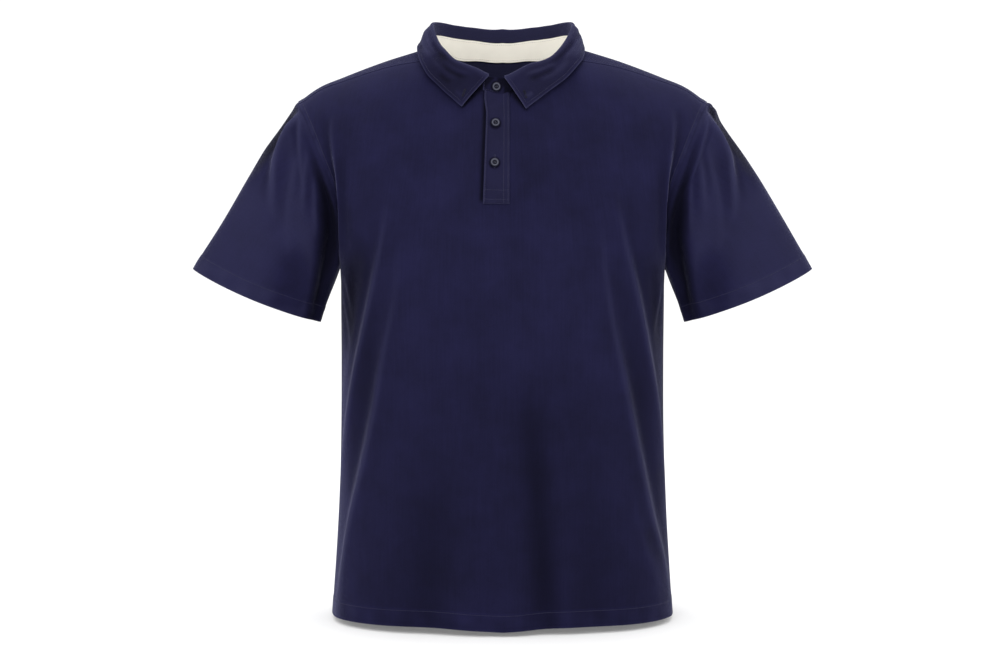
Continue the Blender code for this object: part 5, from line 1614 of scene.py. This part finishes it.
def placket_upper():
    """The upper band, with its edges and the box at its foot stitched."""
    across = np.linspace(0.0, 1.0, 36)[None, :]
    down = np.linspace(1.0, 0.0, 110)[:, None]
    height = PLACKET_BOTTOM_Z * (1.0 - down) + PLACKET_EDGES[-1][0] * down
    ends = through(PLACKET_EDGES, height)
    flare = smooth(1.0 + (height - PLACKET_FLARE_TO_Z) / (PLACKET_FLARE_TO_Z - PLACKET_FLARE_FROM_Z))
    x = (ends[..., 0] - PLACKET_FLARE * flare) * (1.0 - across) + ends[..., 1] * across
    top = neck_height(x) - PLACKET_TOP_DROP / 3.0
    points, normal = on_front(x, PLACKET_BOTTOM_Z + (top - PLACKET_BOTTOM_Z) * down, ON_PLACKET)
    wide = run_length(points, 1)
    tall = left_below(points)
    from_sewn = wide[:, -1:] - wide
    lift = sum(groove(from_sewn, at) for at in SEWN_STITCHES) + groove(wide, FREE_STITCHES)
    lift = lift + sum(groove(tall, at) for at in BOX_STITCHES) + 0.00016 * before(tall, 0.0180, 0.001)
    lift = lift + 0.00022 * np.sin(tall / 0.0150 + 2.0 * across) * np.sin(wide / 0.009)
    # The free edge stands off the front, and all edges are rounded
    lift = lift + 0.0022 * np.exp(-wide / 0.0060) - 0.0004 * bell(wide, 0.0010)
    lift = lift - 0.0006 * bell(from_sewn, 0.0008) - 0.0006 * bell(tall, 0.0008)
    outer = points + normal * lift[..., None]
    wear_and_shading = 0.85 * bell(wide, 0.0012) + 0.12 * bell(from_sewn, 0.0011) + 0.15 * bell(tall, 0.0012)
    wear_and_shading = wear_and_shading + lines(from_sewn, [(at, 0.0010, 0.10) for at in SEWN_STITCHES])
    wear_and_shading = wear_and_shading + lines(tall, [(at, 0.0010, 0.10) for at in BOX_STITCHES]) + 0.10 * after(wide, 0.002, 0.004)
    wear_and_shading = wear_and_shading - LEAF_SHADE * under_leaf(outer) * smooth(wide / 0.003)
    # Painted shade round each button
    for button_x, button_z in PLACKET_BUTTONS:
        away = np.hypot(outer[..., 0] - button_x, outer[..., 2] - button_z)
        wear_and_shading = wear_and_shading - 0.9 * before(away, *BUTTON_SHADE)
    made = shell("placket_top_cloth", "placket_top", COLLAR, outer, normal, PLACKET_CLOTH, wide, tall, wear_and_shading)
    columns = [nearest(from_sewn[60], at) for at in SEWN_STITCHES] + [nearest(wide[60], FREE_STITCHES)]
    rows = [stitch_row(outer[:, column], normal[:, column]) for column in columns]
    for row in [nearest(tall[:, 18], at) for at in BOX_STITCHES]:
        rows.append(stitch_row(outer[row], normal[row]))
    return made, stitches("placket_stitching", rows, COLLAR_THREAD)


def placket_lower():
    """The lower band, which fills the slit."""
    across = np.linspace(0.0, 1.0, 16)[None, :]
    down = np.linspace(1.0, 0.0, 80)[:, None]
    left, right = SLIT_LEFT_X - SEAM_GAP, SLIT_RIGHT_X + SEAM_GAP
    x = right + (left - right) * across + 0.0 * down
    bottom = SLIT_BOTTOM_Z + UNDER_RISE
    points, normal = on_front(x, bottom + (neck_height(x) - SEAM_GAP - bottom) * down)
    return shell("placket_under_cloth", "placket_under", COLLAR, points, normal, PLACKET_CLOTH,
                 run_length(points, 1), left_below(points), 0.0)


placket_cloth, placket_thread = placket_upper()
under_cloth = placket_lower()


# ---- Buttons and buttonholes ----

HOLE_RADIUS = 0.00075
HOLE_OUT = 0.0009
HOLE_DEPTH = 0.0009
HOLES = np.array([(1, 1), (-1, 1), (-1, -1), (1, -1)]) * HOLE_OUT
BUTTON_POINTS = 56
BUTTON_TOP_RINGS = 24
BUTTON_RINGS = [
    # share of the radius, height, paleness from wear and a painted highlight
    (0.00, 0.60, 0.0),
    (0.12, 0.60, 0.0),
    (0.24, 0.60, 0.0),
    (0.36, 0.61, 0.0),
    (0.46, 0.63, 0.0),
    (0.48, 0.66, 0.0),
    (0.52, 0.74, 0.3),
    (0.58, 0.88, 0.9),
    (0.66, 0.98, 1.0),
    (0.75, 1.00, 1.0),
    (0.82, 0.96, 0.5),
    (0.92, 0.84, 0.0),
    (1.00, 0.66, 0.0),
    (1.00, 0.34, 0.0),
    (0.94, 0.10, 0.0),
    (0.84, 0.00, 0.0),
    (0.30, 0.00, 0.0),
    (0.00, 0.00, 0.0),
]
BUTTON_STRAND_Z = 0.00145
BUTTON_STRAND_ASIDE = 0.00016
BUTTON_STRAND_RADIUS = 0.00020


def button_piece(number, seat, normal, twist):
    """A four-hole button with a raised rim, its thread crossing between the holes."""
    rings = np.array(BUTTON_RINGS)
    at = np.linspace(0, len(rings) - 1, 3 * len(rings) - 2)
    fine, tall, worn_and_lit = [np.interp(at, np.arange(len(rings)), column) for column in rings.T]
    angle = np.arange(BUTTON_POINTS) / BUTTON_POINTS * 2.0 * math.pi
    x = fine[:, None] * BUTTON_RADIUS * np.cos(angle)[None, :]
    y = fine[:, None] * BUTTON_RADIUS * np.sin(angle)[None, :]
    z = np.repeat(tall[:, None] * BUTTON_HEIGHT, BUTTON_POINTS, axis=1)
    for hole_x, hole_y in HOLES:
        away = np.hypot(x - hole_x, y - hole_y)
        sunk = HOLE_DEPTH * before(away, HOLE_RADIUS * 1.25, HOLE_RADIUS * 0.5)
        z = z - np.where(np.arange(len(fine))[:, None] < BUTTON_TOP_RINGS, sunk, 0.0)
    turn = Vector(normal).normalized().to_track_quat("Z", "Y").to_matrix()
    cosine, sine = math.cos(twist), math.sin(twist)
    spin = [[cosine, -sine, 0.0], [sine, cosine, 0.0], [0.0, 0.0, 1.0]]
    turned = (np.array(turn) @ np.array(spin)).T
    place = np.asarray(seat) + np.asarray(normal) * SEAM_GAP
    points = (np.stack([x, y, z], axis=-1) @ turned + place).reshape(-1, 3)
    row, column = np.meshgrid(np.arange(len(fine) - 1), np.arange(BUTTON_POINTS), indexing="ij")
    next_column = (column + 1) % BUTTON_POINTS
    corners = [(row, column), (row + 1, column), (row + 1, next_column), (row, next_column)]
    quads = np.stack([a * BUTTON_POINTS + b for a, b in corners], axis=-1).reshape(-1, 4)
    name = f"shirt_button_{number}"
    mesh = build_mesh(name, points, quads, wear_and_shading=np.repeat(worn_and_lit, BUTTON_POINTS))
    made = piece(name, mesh, HORN, [f"button_{number}"])
    strands = []
    for pair in ((0, 3), (1, 2)):
        for aside in (-BUTTON_STRAND_ASIDE, BUTTON_STRAND_ASIDE):
            start, end = [(np.array([*(hole + (aside, 0.0)), BUTTON_STRAND_Z]) @ turned + place)[None]
                          for hole in HOLES[list(pair)]]
            strands.append(beads(start, end, np.asarray(normal)[None], BUTTON_STRAND_RADIUS))
    return made, stitches(f"{name}_thread", strands, BUTTON_THREAD)


button_piece(1, stand_seat, neck_out(stand_angle), 0.35)
for number, (x, z) in enumerate(PLACKET_BUTTONS, start=2):
    button_piece(number, *on_front(x, z, ON_PLACKET), 0.2 + 0.9 * number)


PURL_PITCH = 0.00042


def buttonhole(centre, way, normal, length, width, radius=0.00019):
    """Purl stitches round a slit: short beads across it on both sides, and a bar at each end."""
    side = np.cross(way, normal)
    rows = []
    count = int(length / PURL_PITCH)
    middles = centre + way * (((np.arange(count) + 0.5) / count - 0.5) * length)[:, None] + normal * 0.00005
    for reach in (-width, width):
        rows.append(beads(middles + side * reach * 0.16, middles + side * reach * 0.5,
                          np.repeat(normal[None], count, axis=0), radius))
    for reach in (-length, length):
        middle = centre + way * reach * 0.5 + normal * 0.00006
        bar = side * width * 0.5
        rows.append(beads((middle - bar)[None], (middle + bar)[None], normal[None], 1.3 * radius))
    return rows


hole_rows = []
for (x, z), length in zip(PLACKET_BUTTONS, (0.0150, 0.0170)):
    centre, centre_normal = on_front(x, z + 0.0015, ON_PLACKET)
    upper, _ = on_front(x, z + 0.0035, ON_PLACKET)
    hole_rows += buttonhole(centre, unit(upper - centre), centre_normal, length, 0.0022)
stitches("placket_buttonholes", hole_rows, COLLAR_THREAD)

# One on each point of the leaf, found by how far its middle and its lower end lie from the two edges
tip_rows = []
for end, lengths in zip((0, -1), (distance for _, distance in from_ends(leaf_across))):
    row, lower = [nearest(leaf_from_edge[:, end], above) for above in (0.0160, 0.0130)]
    column, lower_column = nearest(lengths[row], 0.0095), nearest(lengths[lower], 0.0085)
    centre = leaf_points[row, column]
    way = unit(leaf_points[lower, lower_column] - centre)
    tip_rows += buttonhole(centre, way, leaf_normals[row, column], 0.0095, 0.0026, 0.00034)
stitches("collar_buttonholes", tip_rows, SLIT_THREAD)


# ---- Floor, light and camera ----

FLOOR_Z = -0.7392
FLOOR_CORNERS = ((-9.0, -7.0), (9.0, -7.0), (9.0, 14.0), (-9.0, 14.0))
CAMERA_PITCH = 1.24
# The photo's width, the lens in its pixels, and how far above its middle the camera's own height shows
PHOTO_WIDTH_PX = 1008.0
LENS_PX = 2000.0
CAMERA_ABOVE_MIDDLE_PX = 129.0


def floor_piece():
    points = np.array([(x, y, FLOOR_Z) for x, y in FLOOR_CORNERS])
    made = bpy.data.objects.new("floor", build_mesh("floor", points, np.array([[0, 1, 2, 3]])))
    made.data.materials.append(studio_white("studio_white", 0.84, 0.15))
    bpy.context.scene.collection.objects.link(made)


def area_light(name, place, target_z, size, power):
    made = bpy.data.lights.new(name, "AREA")
    made.shape = "RECTANGLE"
    made.size, made.size_y = size
    made.energy = power
    lamp = bpy.data.objects.new(name, made)
    lamp.location = place
    lamp.rotation_euler = (Vector((0.0, 0.0, target_z)) - Vector(place)).to_track_quat("-Z", "Y").to_euler()
    bpy.context.scene.collection.objects.link(lamp)


floor_piece()
area_light("key", (-0.5, -3.0, 2.0), -0.25, (2.0, 1.4), 34.0)
area_light("left_rim", (-2.6, 0.6, 0.2), -0.35, (1.0, 2.4), 7.0)
area_light("right_rim", (2.6, 0.6, 0.2), -0.35, (1.0, 2.4), 7.0)
area_light("top", (0.0, 0.3, 2.4), -0.20, (2.4, 1.6), 26.0)

world = bpy.data.worlds.new("studio")
bpy.context.scene.world = world
world.use_nodes = True
world.node_tree.nodes["Background"].inputs["Color"].default_value = (1.0, 1.0, 1.0, 1.0)
world.node_tree.nodes["Background"].inputs["Strength"].default_value = 1.12

camera = bpy.data.objects.new("camera", bpy.data.cameras.new("camera"))
bpy.context.scene.collection.objects.link(camera)
camera.data.lens = 71.43
camera.data.sensor_width = 36.0
camera.data.shift_x = 0.0015
pitch_px = LENS_PX * math.tan(math.radians(CAMERA_PITCH))
camera.data.shift_y = -(CAMERA_ABOVE_MIDDLE_PX - pitch_px) / PHOTO_WIDTH_PX
camera.location = (0.0, -2.6, -0.208)
camera.rotation_euler = (math.radians(90.0 - CAMERA_PITCH), 0.0, 0.0)
bpy.context.scene.camera = camera
bpy.context.scene.view_settings.view_transform = "Standard"
bpy.context.view_layer.update()
